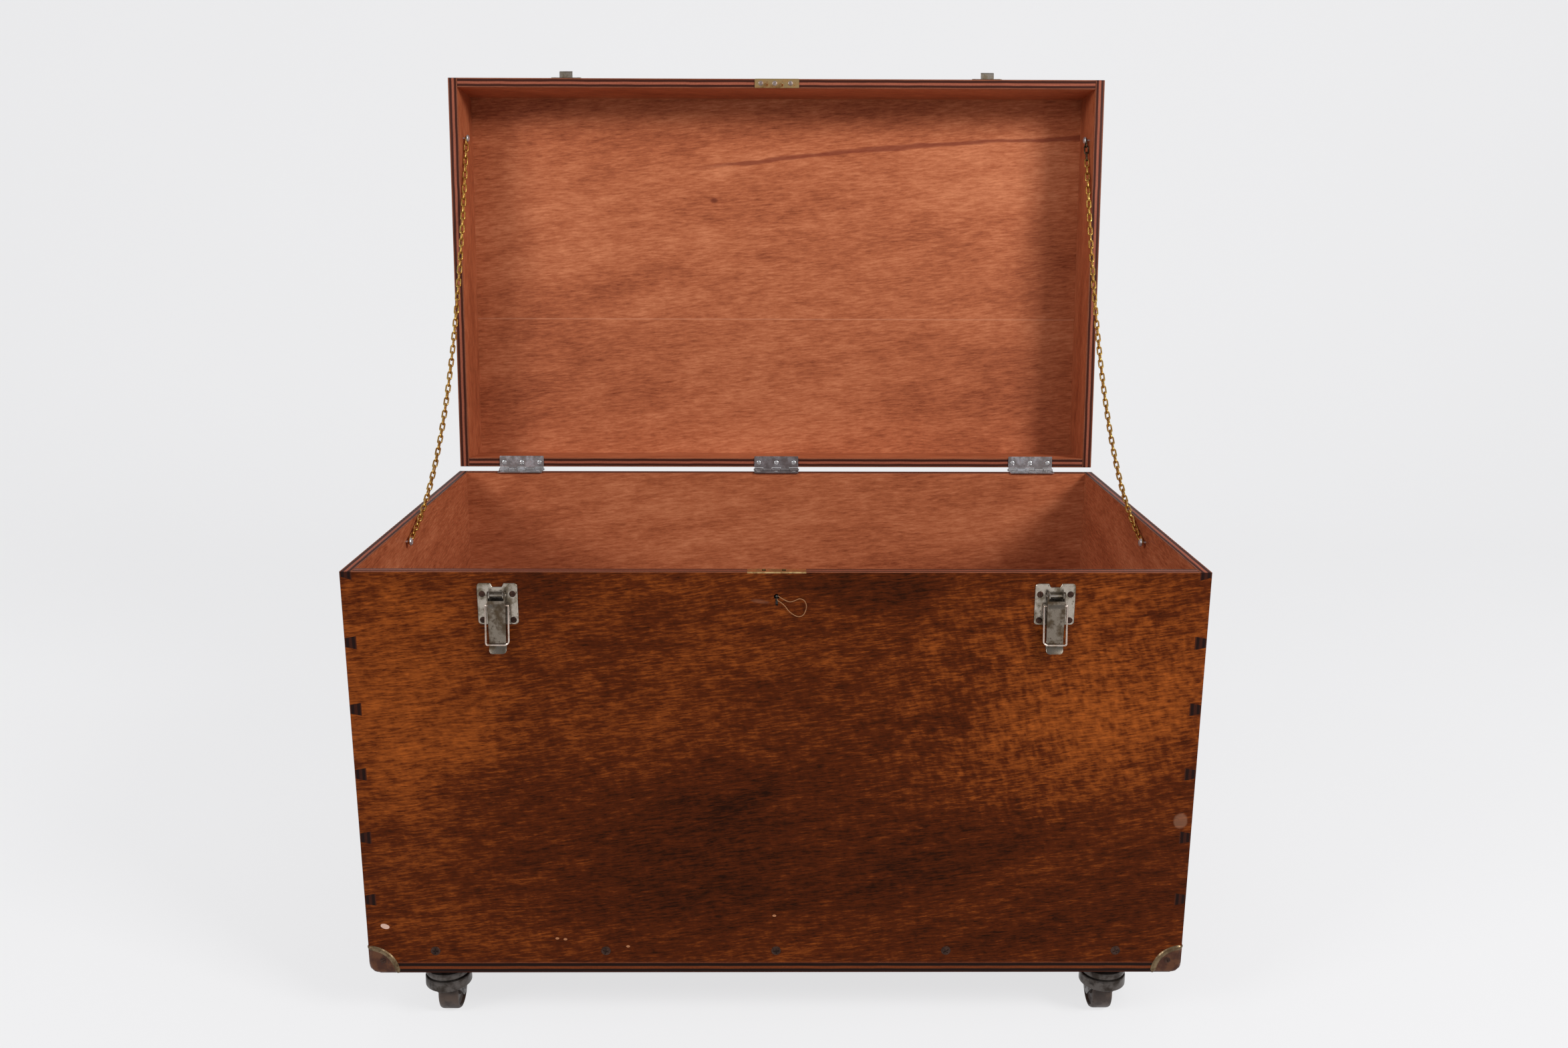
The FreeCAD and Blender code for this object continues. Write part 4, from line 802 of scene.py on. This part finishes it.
def latchLever(side, place, sideways):
    look, pivot = latchLook["lever"], latchLook["pivot"]
    shape = Shape()
    tip, sheet = look["tip"], look["sheet"]
    stepLow, stepHigh, stepDeep = look["step"]        # a shallow step below the ears
    rows = []
    for height in [look["top"], look["top"] - 0.4, *look["rows"], tip]:
        fromTip = height - tip
        half = look["half"]
        if fromTip < look["round"]:
            half -= look["round"] - math.sqrt(look["round"] ** 2 - (look["round"] - fromTip) ** 2)
        depth = between(look["flange"], height)
        curl = look["curl"] * max(0.0, 1 - fromTip / look["curlTall"]) ** 1.6
        web = look["web"] + curl - (stepDeep if stepLow < height < stepHigh else 0.0)
        bend, inner = min(look["bend"], depth * 0.9), min(0.4, (depth - sheet) * 0.8)
        foot, within = web - depth, half - sheet
        corners = [(-half, foot), (-half, web, bend), (half, web, bend), (half, foot), (within, foot),
                   (within, web - sheet, inner), (-within, web - sheet, inner), (-within, foot)]
        rows.append([(point.x, height, point.y) for point in rounded(corners)])
    shape.skin(rows, ring=True, caps=True, place=place)
    above, ear = pivot["up"], pivot["ear"]
    corners = [(look["heel"], look["top"]), (look["web"], look["top"]), (look["web"], above + ear, 3.6),
               (look["heel"], above + ear, 3.2)]
    for low in (-look["half"], look["half"] - sheet):
        shape.slab(rounded(corners, 6), low, low + sheet, 0.3, place=sideways)
    for x in look["dimples"]:
        spot = place @ Matrix.Translation((x, look["dimpleUp"], look["web"]))
        shape.lathe([(0.0, 0.4), (0.5, 0.3), (0.9, -0.1)], 12, spot)
    shape.finish(f"{side}_latch_lever", [metals["latchLever"]])


def latchBail(side, across, way):
    look, pivot = latchLook["bail"], latchLook["pivot"]
    spot = Vector((across, front - pivot["out"] * mm, rim + look["up"] * mm))
    lean = Matrix.Rotation(-math.asin(look["lean"] / look["long"]), 4, "X")
    place = Matrix.Translation(spot) @ lean @ facing(Vector(), ahead, up)
    stub, half, long = look["stub"], look["half"], look["long"]
    elbow, tight, loose = look["elbow"], look["tight"], look["loose"]
    corners = [(-stub, 0), (-half, 0, elbow), (-half, -long, tight), (half, -long, loose), (half, 0, elbow),
               (stub, 0)]
    path = rounded([(x * way, *rest) for x, *rest in corners], 6, closed=False)
    shape = Shape()
    shape.tube(path, look["wire"], 12, place=place)
    shape.finish(f"{side}_latch_bail", [metals["latchWire"]])


def latchHook(side, across):
    look = latchLook["hook"]
    shape = Shape(lidPlace)
    place = facing((across, lidFront, lidRim), ahead, up)
    wide, low, high, bevel = look["strikeHalf"], look["low"], look["high"], look["bevel"]
    half, tongue = look["half"], look["tongue"]
    outline = rounded([(-wide, low, 1.0), (-half, low), (-half, tongue), (half, tongue), (half, low),
                       (wide, low, 1.0), (wide, high, bevel), (-wide, high, bevel)])
    shape.slab(outline, 0.0, look["strike"], 0.35, place=place)
    shelf, out = look["shelf"], -look["out"]
    path = rounded([(-0.4, shelf), (out, shelf, 1.8), (out, look["lip"])], 6, closed=False)
    widths = [half] * (len(path) - 1) + [half - look["taper"]]
    upright = Matrix.Translation((across, lidFront, lidRim)) @ metres
    shape.strap(path, widths, look["sheet"], 0.3, place=upright)
    shape.finish(f"{side}_latch_hook", [metals["latchPlate"]])


for side, way in (("left", 1), ("right", -1)):
    across = centreOf(f"{side}_latch_plate").x
    seats = [facing((across, front, rim), out, up) for out in (ahead, left)]        # face on and sideways
    latchPlate(side, *seats)
    latchLever(side, *seats)
    latchBail(side, across, way)
    latchHook(side, across)
print("latches fitted")

# Link plate of the lock, let into the rim of the lid, with its two pierced staples
linkLook = {"half": 31.0, "sheet": 1.6, "staples": (-13.6, 7.5), "thick": 1.1, "wide": 2.3, "long": 11.0,
            "middle": 7.85, "eye": 1.75, "eyeUp": -9.4, "gap": 0.05}


def linkPlate():
    look = linkLook
    shape = Shape(lidPlace @ Matrix.Translation((0, lidFront, lidRim)) @ metres)
    shape.slab(rectangle(look["half"], look["gap"], ply / mm - look["gap"], 1.2), -look["sheet"], 0.0, 0.25)
    eye = circle(0, look["eyeUp"], look["eye"])
    tip, root = -look["sheet"] - look["long"], -look["sheet"] / 2
    wide, thick = look["wide"], look["thick"]
    outline = rounded([(-wide, root), (-wide, tip, 2.2), (wide, tip, 2.2), (wide, root)], 6)
    for across in look["staples"]:
        turned = facing(Vector(), left, up) @ metres.inverted()
        place = Matrix.Translation((across, look["middle"], 0)) @ turned
        shape.slab(outline, -thick, thick, 0.25, [eye], place=place)
    shape.finish("link_plate", [metals["brass"]])


linkPlate()

# Corner protectors: three quarter rounds pressed over a softened corner, with a raised bead inside their rims
cornerLook = {
    "edge": 4.0, "nose": 8.0, "noseSpan": 14.0, "turns": 16,
    "field": [(span, 1.2) for span in (0.0, 2.5, 5.0, 7.5, 10.0, 13.0, 17.0, 22.0, 28.6)],
    "bead": [(28.6, 1.2), (29.6, 1.35), (30.5, 1.85), (31.4, 2.0), (32.3, 1.85), (33.1, 1.2), (34.0, 0.1)],
    "back": [(span, 0.1) for span in (34.0, 17.0, 8.0, 0.0)],
}


def cornerPoint(u, v, span, rise):        # on a rounded corner, u and v from it along two of its edges
    look = cornerLook
    share = min(span / look["noseSpan"], 1.0)
    soft = look["nose"] + (look["edge"] - look["nose"]) * share * share * (3 - 2 * share)
    core = Vector((max(u, soft), max(v, soft), soft))
    return core + (Vector((u, v, 0)) - core).normalized() * (soft + rise)


def cornerGuard(side, sign, end, way):
    look = cornerLook
    spot = Vector((half * sign, front if way < 0 else back, underside))
    shape = Shape(Matrix.Translation(spot) @ metres)
    axes = [Vector((-sign, 0, 0)), Vector((0, -way, 0)), up]
    turns = [math.pi / 2 * step / look["turns"] for step in range(look["turns"] + 1)]
    for i in range(3):
        basis = Matrix((axes[i], axes[(i + 1) % 3], axes[(i + 2) % 3])).transposed()
        for layer, paint in (("field", 0), ("bead", 1), ("back", 1)):
            rows = []
            for span, rise in look[layer]:
                places = [(span * math.cos(turn), span * math.sin(turn)) for turn in turns]
                rows.append([basis @ cornerPoint(u, v, span, rise) for u, v in places])
            shape.skin(rows, paint=paint)
    shape.finish(f"{side}_{end}_corner", [metals["cornerField"], metals["cornerRim"]], sharp=40)


# Castors: plate and ball race, crown with its skirt and two legs, and a solid wheel
castorLook = {
    "plateHalf": 25.0, "plateSheet": 2.5, "plateCorner": 4.0, "screws": 19.0,
    "race": [(0.0, 54.5), (21.0, 54.5), (24.0, 55.3), (25.0, 57.0), (25.0, 60.6), (24.0, 62.6), (21.6, 63.5),
             (20.2, 64.4), (20.0, 66.0), (20.0, 67.6), (0.0, 67.6)],
    "crown": [(0.0, 51.8), (25.0, 51.8), (25.8, 52.6), (25.4, 53.6), (24.0, 54.2), (0.0, 54.2)],
    "skirt": [(26.0, 42.6), (25.6, 42.2), (23.8, 42.3), (23.4, 43.0), (23.4, 52.4), (25.8, 52.4)],
    "skirtStart": 118.5, "skirtSweep": 303.0,
    "leg": [(-16.0, 52.4), (-16.0, 42.2, 3.0), (8.6, 17.0, 6.0), (21.4, 17.0, 6.0), (23.0, 27.0, 5.0),
            (16.0, 42.2, 3.0), (16.0, 52.4)],
    "legFace": 12.1, "legSheet": 2.5, "trail": 15.0, "axle": 25.0,
    "rivet": mirrored([(0.0, -15.6), (2.4, -15.5), (4.0, -15.0), (4.4, -14.4), (3.0, -14.3)]),
    "wheel": mirrored([(3.45, -11.5), (8.4, -11.5), (9.2, -10.8), (9.6, -8.6), (16.5, -7.6), (20.6, -8.6),
                       (21.6, -10.6), (22.6, -11.4), (23.8, -10.9), (24.7, -9.4), (25.0, -7.4)]),
}


def castor(name):
    look = castorLook
    spot = Vector((*centreOf(f"{name}_castor_plate").xy, 0))
    upright = Matrix.Translation(spot) @ metres
    sideways = facing(spot, right, up)        # x behind, y up, z to the right
    plate = Shape(upright)
    top, edge = underside / mm, look["plateHalf"]
    plate.slab(rectangle(edge, -edge, edge, look["plateCorner"]), top - look["plateSheet"], top, 0.4)
    plate.lathe(look["race"], 40)
    for u in (-look["screws"], look["screws"]):
        for v in (-look["screws"], look["screws"]):
            seat = Matrix.Translation((u, v, top - look["plateSheet"])) @ Matrix.Rotation(math.pi, 4, "X")
            turned = seat @ Matrix.Rotation(chance.uniform(0, math.pi), 4, "Z")
            plate.stamp(screwHeads["fitting"], turned, 1)
    plate.finish(f"{name}_castor_plate", [metals["castorIron"], metals["brownSteel"]])
    fork = Shape()
    fork.lathe(look["crown"], 40, upright)
    fork.lathe(look["skirt"], 40, upright, start=look["skirtStart"], sweep=look["skirtSweep"], ring=True)
    for face in (look["legFace"], -look["legFace"] - look["legSheet"]):
        fork.slab(rounded(look["leg"]), face, face + look["legSheet"], 0.4, place=sideways)
    axle = sideways @ Matrix.Translation((look["trail"], look["axle"], 0))
    fork.lathe(look["rivet"], 24, axle)
    fork.finish(f"{name}_castor_fork", [metals["castorIron"]])
    wheel = Shape()
    wheel.lathe(look["wheel"], 64, axle, ring=True)
    wheel.finish(f"{name}_castor_wheel", [metals["tread"]])


for side, sign in (("left", -1), ("right", 1)):
    for end, way in (("front", -1), ("back", 1)):
        cornerGuard(side, sign, end, way)
        castor(f"{side}_{end}")
print("corners and castors fitted")

# Chest handles on the ends: a plate with two lugs, and a drop grip
handleLook = {
    "drop": 150.0, "half": 66.0, "tall": 20.0, "sheet": 1.6, "bevel": 9.0, "corner": 2.0, "lug": 48.0,
    "lugHalf": 2.0, "axis": 7.0, "round": 5.5, "foot": 7.5, "wire": 3.2, "end": 45.0, "arm": 57.0,
    "grip": 42.0, "bend": 11.0, "elbow": 4.0,
}


def chestHandle(side, sign):
    look = handleLook
    spot = Vector((half * sign, middle, rim - look["drop"] * mm))
    out = right * sign
    face = facing(spot, out, up)
    plate = Shape()
    wide, tall, cut = look["half"], look["tall"], look["bevel"]
    lower = [(cut - wide, -tall), (wide - cut, -tall), (wide, cut - tall), (wide, tall - cut)]
    outline = rounded([(*corner, look["corner"]) for corner in lower + [(-x, -y) for x, y in lower]])
    plate.slab(outline, 0.0, look["sheet"], 0.5, place=face)
    tip = look["axis"] + look["round"]
    corners = [(0.8, -look["foot"]), (tip, -look["round"], look["round"] - 0.2),
               (tip, look["round"], look["round"] - 0.2), (0.8, look["foot"])]
    for way in (-1, 1):        # drawn with x out, y up and z along the wall
        place = facing(spot + behind * look["lug"] * way * mm, ahead * sign, up)
        plate.slab(rounded(corners, 6), -look["lugHalf"], look["lugHalf"], 0.5, place=place)
    plate.finish(f"{side}_handle_plate", [metals["handleIron"]])
    end, arm, drop, bend, elbow = [look[key] for key in ("end", "arm", "grip", "bend", "elbow")]
    corners = [(-arm, 0, elbow), (-arm, -drop, bend), (arm, -drop, bend), (arm, 0, elbow)]
    path = rounded([(-end, 0), *corners, (end, 0)], 8, closed=False)
    grip = Shape()
    grip.tube(path, look["wire"], 16, place=face @ Matrix.Translation((0, 0, look["axis"])))
    grip.finish(f"{side}_handle_grip", [metals["handleIron"]])


chestHandle("left", -1)
chestHandle("right", 1)
print("handles fitted")

# Chains: round links laid on the frame's own, flat to the wall and across it by turns
chainLook = {"half": 6.3, "end": 2.6, "wire": 1.1, "twist": 7.0, "dark": {"left": 0, "right": 3}}


def chainLink():
    look = chainLook
    reach = look["half"] - look["end"]
    turns = [math.pi * (step / 7 - 0.5) for step in range(8)]
    path = [Vector((reach + look["end"] * math.cos(t), look["end"] * math.sin(t))) for t in turns]
    path += [-point for point in path]
    shape = Shape()
    shape.tube(path, look["wire"], 8, loop=True)
    return shape.asMesh("chainLink", 60, merge=0.002)


def chain(side, link):
    centres = [sum(group, Vector()) / len(group) for group in islands(f"{side}_chain")]
    centres.sort(key=lambda centre: centre.y + centre.z)
    shape = Shape()
    for i, centre in enumerate(centres):
        heading = (centres[min(i + 1, len(centres) - 1)] - centres[max(i - 1, 0)]).normalized()
        flat = right if i % 2 == 0 else heading.cross(right)
        basis = Matrix((heading, flat.cross(heading), flat)).transposed().to_4x4()
        twist = Matrix.Rotation(math.radians(chance.uniform(-1, 1) * chainLook["twist"]), 4, "X")
        dark = len(centres) - i <= chainLook["dark"][side]
        shape.stamp(link, Matrix.Translation(centre) @ basis @ twist @ metres, int(dark))
    piece = shape.finish(f"{side}_chain", [metals["goldChain"], metals["darkChain"]], sharp=60, ride=False)
    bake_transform(piece)


roundLink = chainLink()
chain("left", roundLink)
chain("right", roundLink)
print("chains hung")

# Twine left in the keyhole: each point's place to the right of the keyhole, out of the front and up
twineLook = {"drop": 27.0, "thick": 0.9, "length": 0.088, "tan": tint(176, 128, 88),
             "brown": tint(104, 66, 42)}
twineRoute = [
    (1.6, -1.2, 0.8), (1.9, 3.0, 1.2), (7.5, 2.6, -2.4), (13.5, 1.6, -5.6), (19.0, 1.6, -4.0),
    (24.0, 2.2, -1.0), (29.4, 2.4, -3.2), (31.6, 2.0, -9.2), (30.6, 1.6, -15.2), (27.6, 1.4, -20.6),
    (22.4, 1.4, -21.8), (16.9, 1.4, -19.0), (12.0, 1.6, -14.6), (8.8, 2.0, -9.6), (4.6, 2.8, -5.6),
    (0.7, 3.0, -3.2), (0.4, -1.2, -2.6),
]


def twine():
    paint = Paint("tanTwine", specular=0.2)
    place = paint.node("TexCoord", output="Object")
    strands = paint.cloud(place, 900, 3.0)
    colour = paint.mix(strands, twineLook["brown"], twineLook["tan"])
    twinePaint = paint.surface(colour, 0.85, strands, 0.05)
    keyhole = Vector((0, front, rim - twineLook["drop"] * mm))
    curve = bpy.data.curves.new("twineLoop", "CURVE")
    curve.dimensions = "3D"
    curve.bevel_depth, curve.bevel_resolution = twineLook["thick"] / 2 * mm, 3
    curve.use_fill_caps = True
    spline = curve.splines.new("NURBS")
    spline.points.add(len(twineRoute) - 1)
    route = [keyhole + Vector((x, -out, z)) * mm for x, out, z in twineRoute]
    for point, spot in zip(spline.points, route):
        point.co = (*spot, 1)
    spline.order_u = 3
    spline.use_endpoint_u = True
    curve.materials.append(twinePaint)
    loop = add("twineLoop", curve)
    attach(loop, "trunk")
    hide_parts("twine_loop")


twine()

# Stage, light and camera
stageLook = {"floor": tint(226, 225, 224), "wall": tint(232, 231, 232), "pale": tint(248, 248, 249),
             "reach": 6.0, "bend": 1.2, "away": 1.6, "share": 0.76}


def makeStage():
    bend, away, reach = stageLook["bend"], back + stageLook["away"], stageLook["reach"]
    profile = [(-reach, 0.0)]
    for step in range(13):
        turn = math.pi / 2 * step / 12
        profile.append((away + bend * math.sin(turn), bend * (1 - math.cos(turn))))
    profile.append((away + bend, reach))
    shape = Shape()
    shape.skin([[(-reach, y, z), (reach, y, z)] for y, z in profile])
    cove = add("cove", shape.asMesh("cove"))
    paint = Paint("palePaper", specular=0.2)
    place = paint.node("TexCoord", output="Object")
    colour = paint.mix(paint.cloud(place, 2.0), stageLook["floor"], stageLook["wall"])
    material = paint.surface(colour, 0.8)
    rays = ("Is Camera Ray", "Is Glossy Ray", "Is Transmission Ray")
    seen = [paint.node("LightPath", output=name) for name in rays]
    pale = paint.node("Emission", inputs={"Color": stageLook["pale"], "Strength": 1.0})
    share = seen[0].maths("MAXIMUM", seen[0], seen[1])
    share = share.maths("MAXIMUM", share, seen[2]) * stageLook["share"]
    lit = Wire(paint.tree, paint.shader.outputs[0])
    whole = paint.node("MixShader", inputs={0: share, 1: lit, 2: pale})
    feed(paint.tree, whole, paint.tree.nodes["Material Output"].inputs[0])
    cove.data.materials.append(material)


lightLook = {
    "lamps": {"left": ((-2.5, -2.2, 2.2), 48.0, 1.3), "right": ((2.3, -2.1, 2.4), 84.0, 1.1)},
    "aim": (0.0, 0.0, 0.45), "sky": tint(232, 236, 244), "skyStrength": 0.4,
    "seen": tint(237, 237, 238),
}


def makeLight():
    for name, (place, power, size) in lightLook["lamps"].items():
        lamp = add(name + "Lamp", bpy.data.lights.new(name + "Lamp", "AREA"))
        lamp.data.energy, lamp.data.size = power, size
        lamp.location = place
        lamp.rotation_euler = (Vector(lightLook["aim"]) - Vector(place)).to_track_quat("-Z", "Y").to_euler()
    world = bpy.data.worlds.new("paleRoom")
    world.use_nodes = True
    tree = world.node_tree
    sky, pale = tree.nodes["Background"], tree.nodes.new("ShaderNodeBackground")
    sky.inputs["Color"].default_value = (*lightLook["sky"], 1)
    sky.inputs["Strength"].default_value = lightLook["skyStrength"]
    pale.inputs["Color"].default_value = (*lightLook["seen"], 1)
    path, whole = tree.nodes.new("ShaderNodeLightPath"), tree.nodes.new("ShaderNodeMixShader")
    tree.links.new(path.outputs["Is Camera Ray"], whole.inputs[0])
    tree.links.new(sky.outputs[0], whole.inputs[1])
    tree.links.new(pale.outputs[0], whole.inputs[2])
    tree.links.new(whole.outputs[0], tree.nodes["World Output"].inputs[0])
    bpy.context.scene.world = world
    bpy.context.scene.view_settings.view_transform = "Standard"


cameraLook = {"x": -0.0023, "ahead": 1.3282, "above": 0.370, "yaw": 0.42, "pitch": 13.48, "roll": 0.18,
              "lens": 30.24, "sensor": 36.0}


def makeCamera():
    yaw, pitch, roll = [math.radians(cameraLook[key]) for key in ("yaw", "pitch", "roll")]
    onward = Vector((math.sin(yaw) * math.cos(pitch), math.cos(yaw) * math.cos(pitch), -math.sin(pitch)))
    across = Vector((math.cos(yaw), -math.sin(yaw), 0))
    above = across.cross(onward)
    sideways = across * math.cos(roll) + above * math.sin(roll)
    upright = above * math.cos(roll) - across * math.sin(roll)
    camera = add("camera", bpy.data.cameras.new("camera"))
    camera.data.lens, camera.data.sensor_width = cameraLook["lens"], cameraLook["sensor"]
    camera.data.sensor_fit = "HORIZONTAL"
    turn = Matrix((sideways, upright, -onward)).transposed().to_4x4()
    spot = (cameraLook["x"], front - cameraLook["ahead"], rim + cameraLook["above"])
    camera.matrix_world = Matrix.Translation(spot) @ turn
    bpy.context.scene.camera = camera


makeStage()
makeLight()
makeCamera()
print("stage set")

# The frame's own pieces that stay as they are, with their metals
keptPaints = {"lock_case": "brass", "lock_bolt": "brass", "left_hinge_pin": "hingeNickel",
              "middle_hinge_pin": "dullNickel", "right_hinge_pin": "hingeNickel"}
for node, paint in keptPaints.items():
    nodes[node].data.materials.clear()
    nodes[node].data.materials.append(metals[paint])
nodes["lock_case"].data.materials.append(metals["castorIron"])
for face in nodes["lock_case"].data.polygons:        # brass on the rim, dark steel below it
    face.material_index = int(face.center.z < rim - 3 * mm)
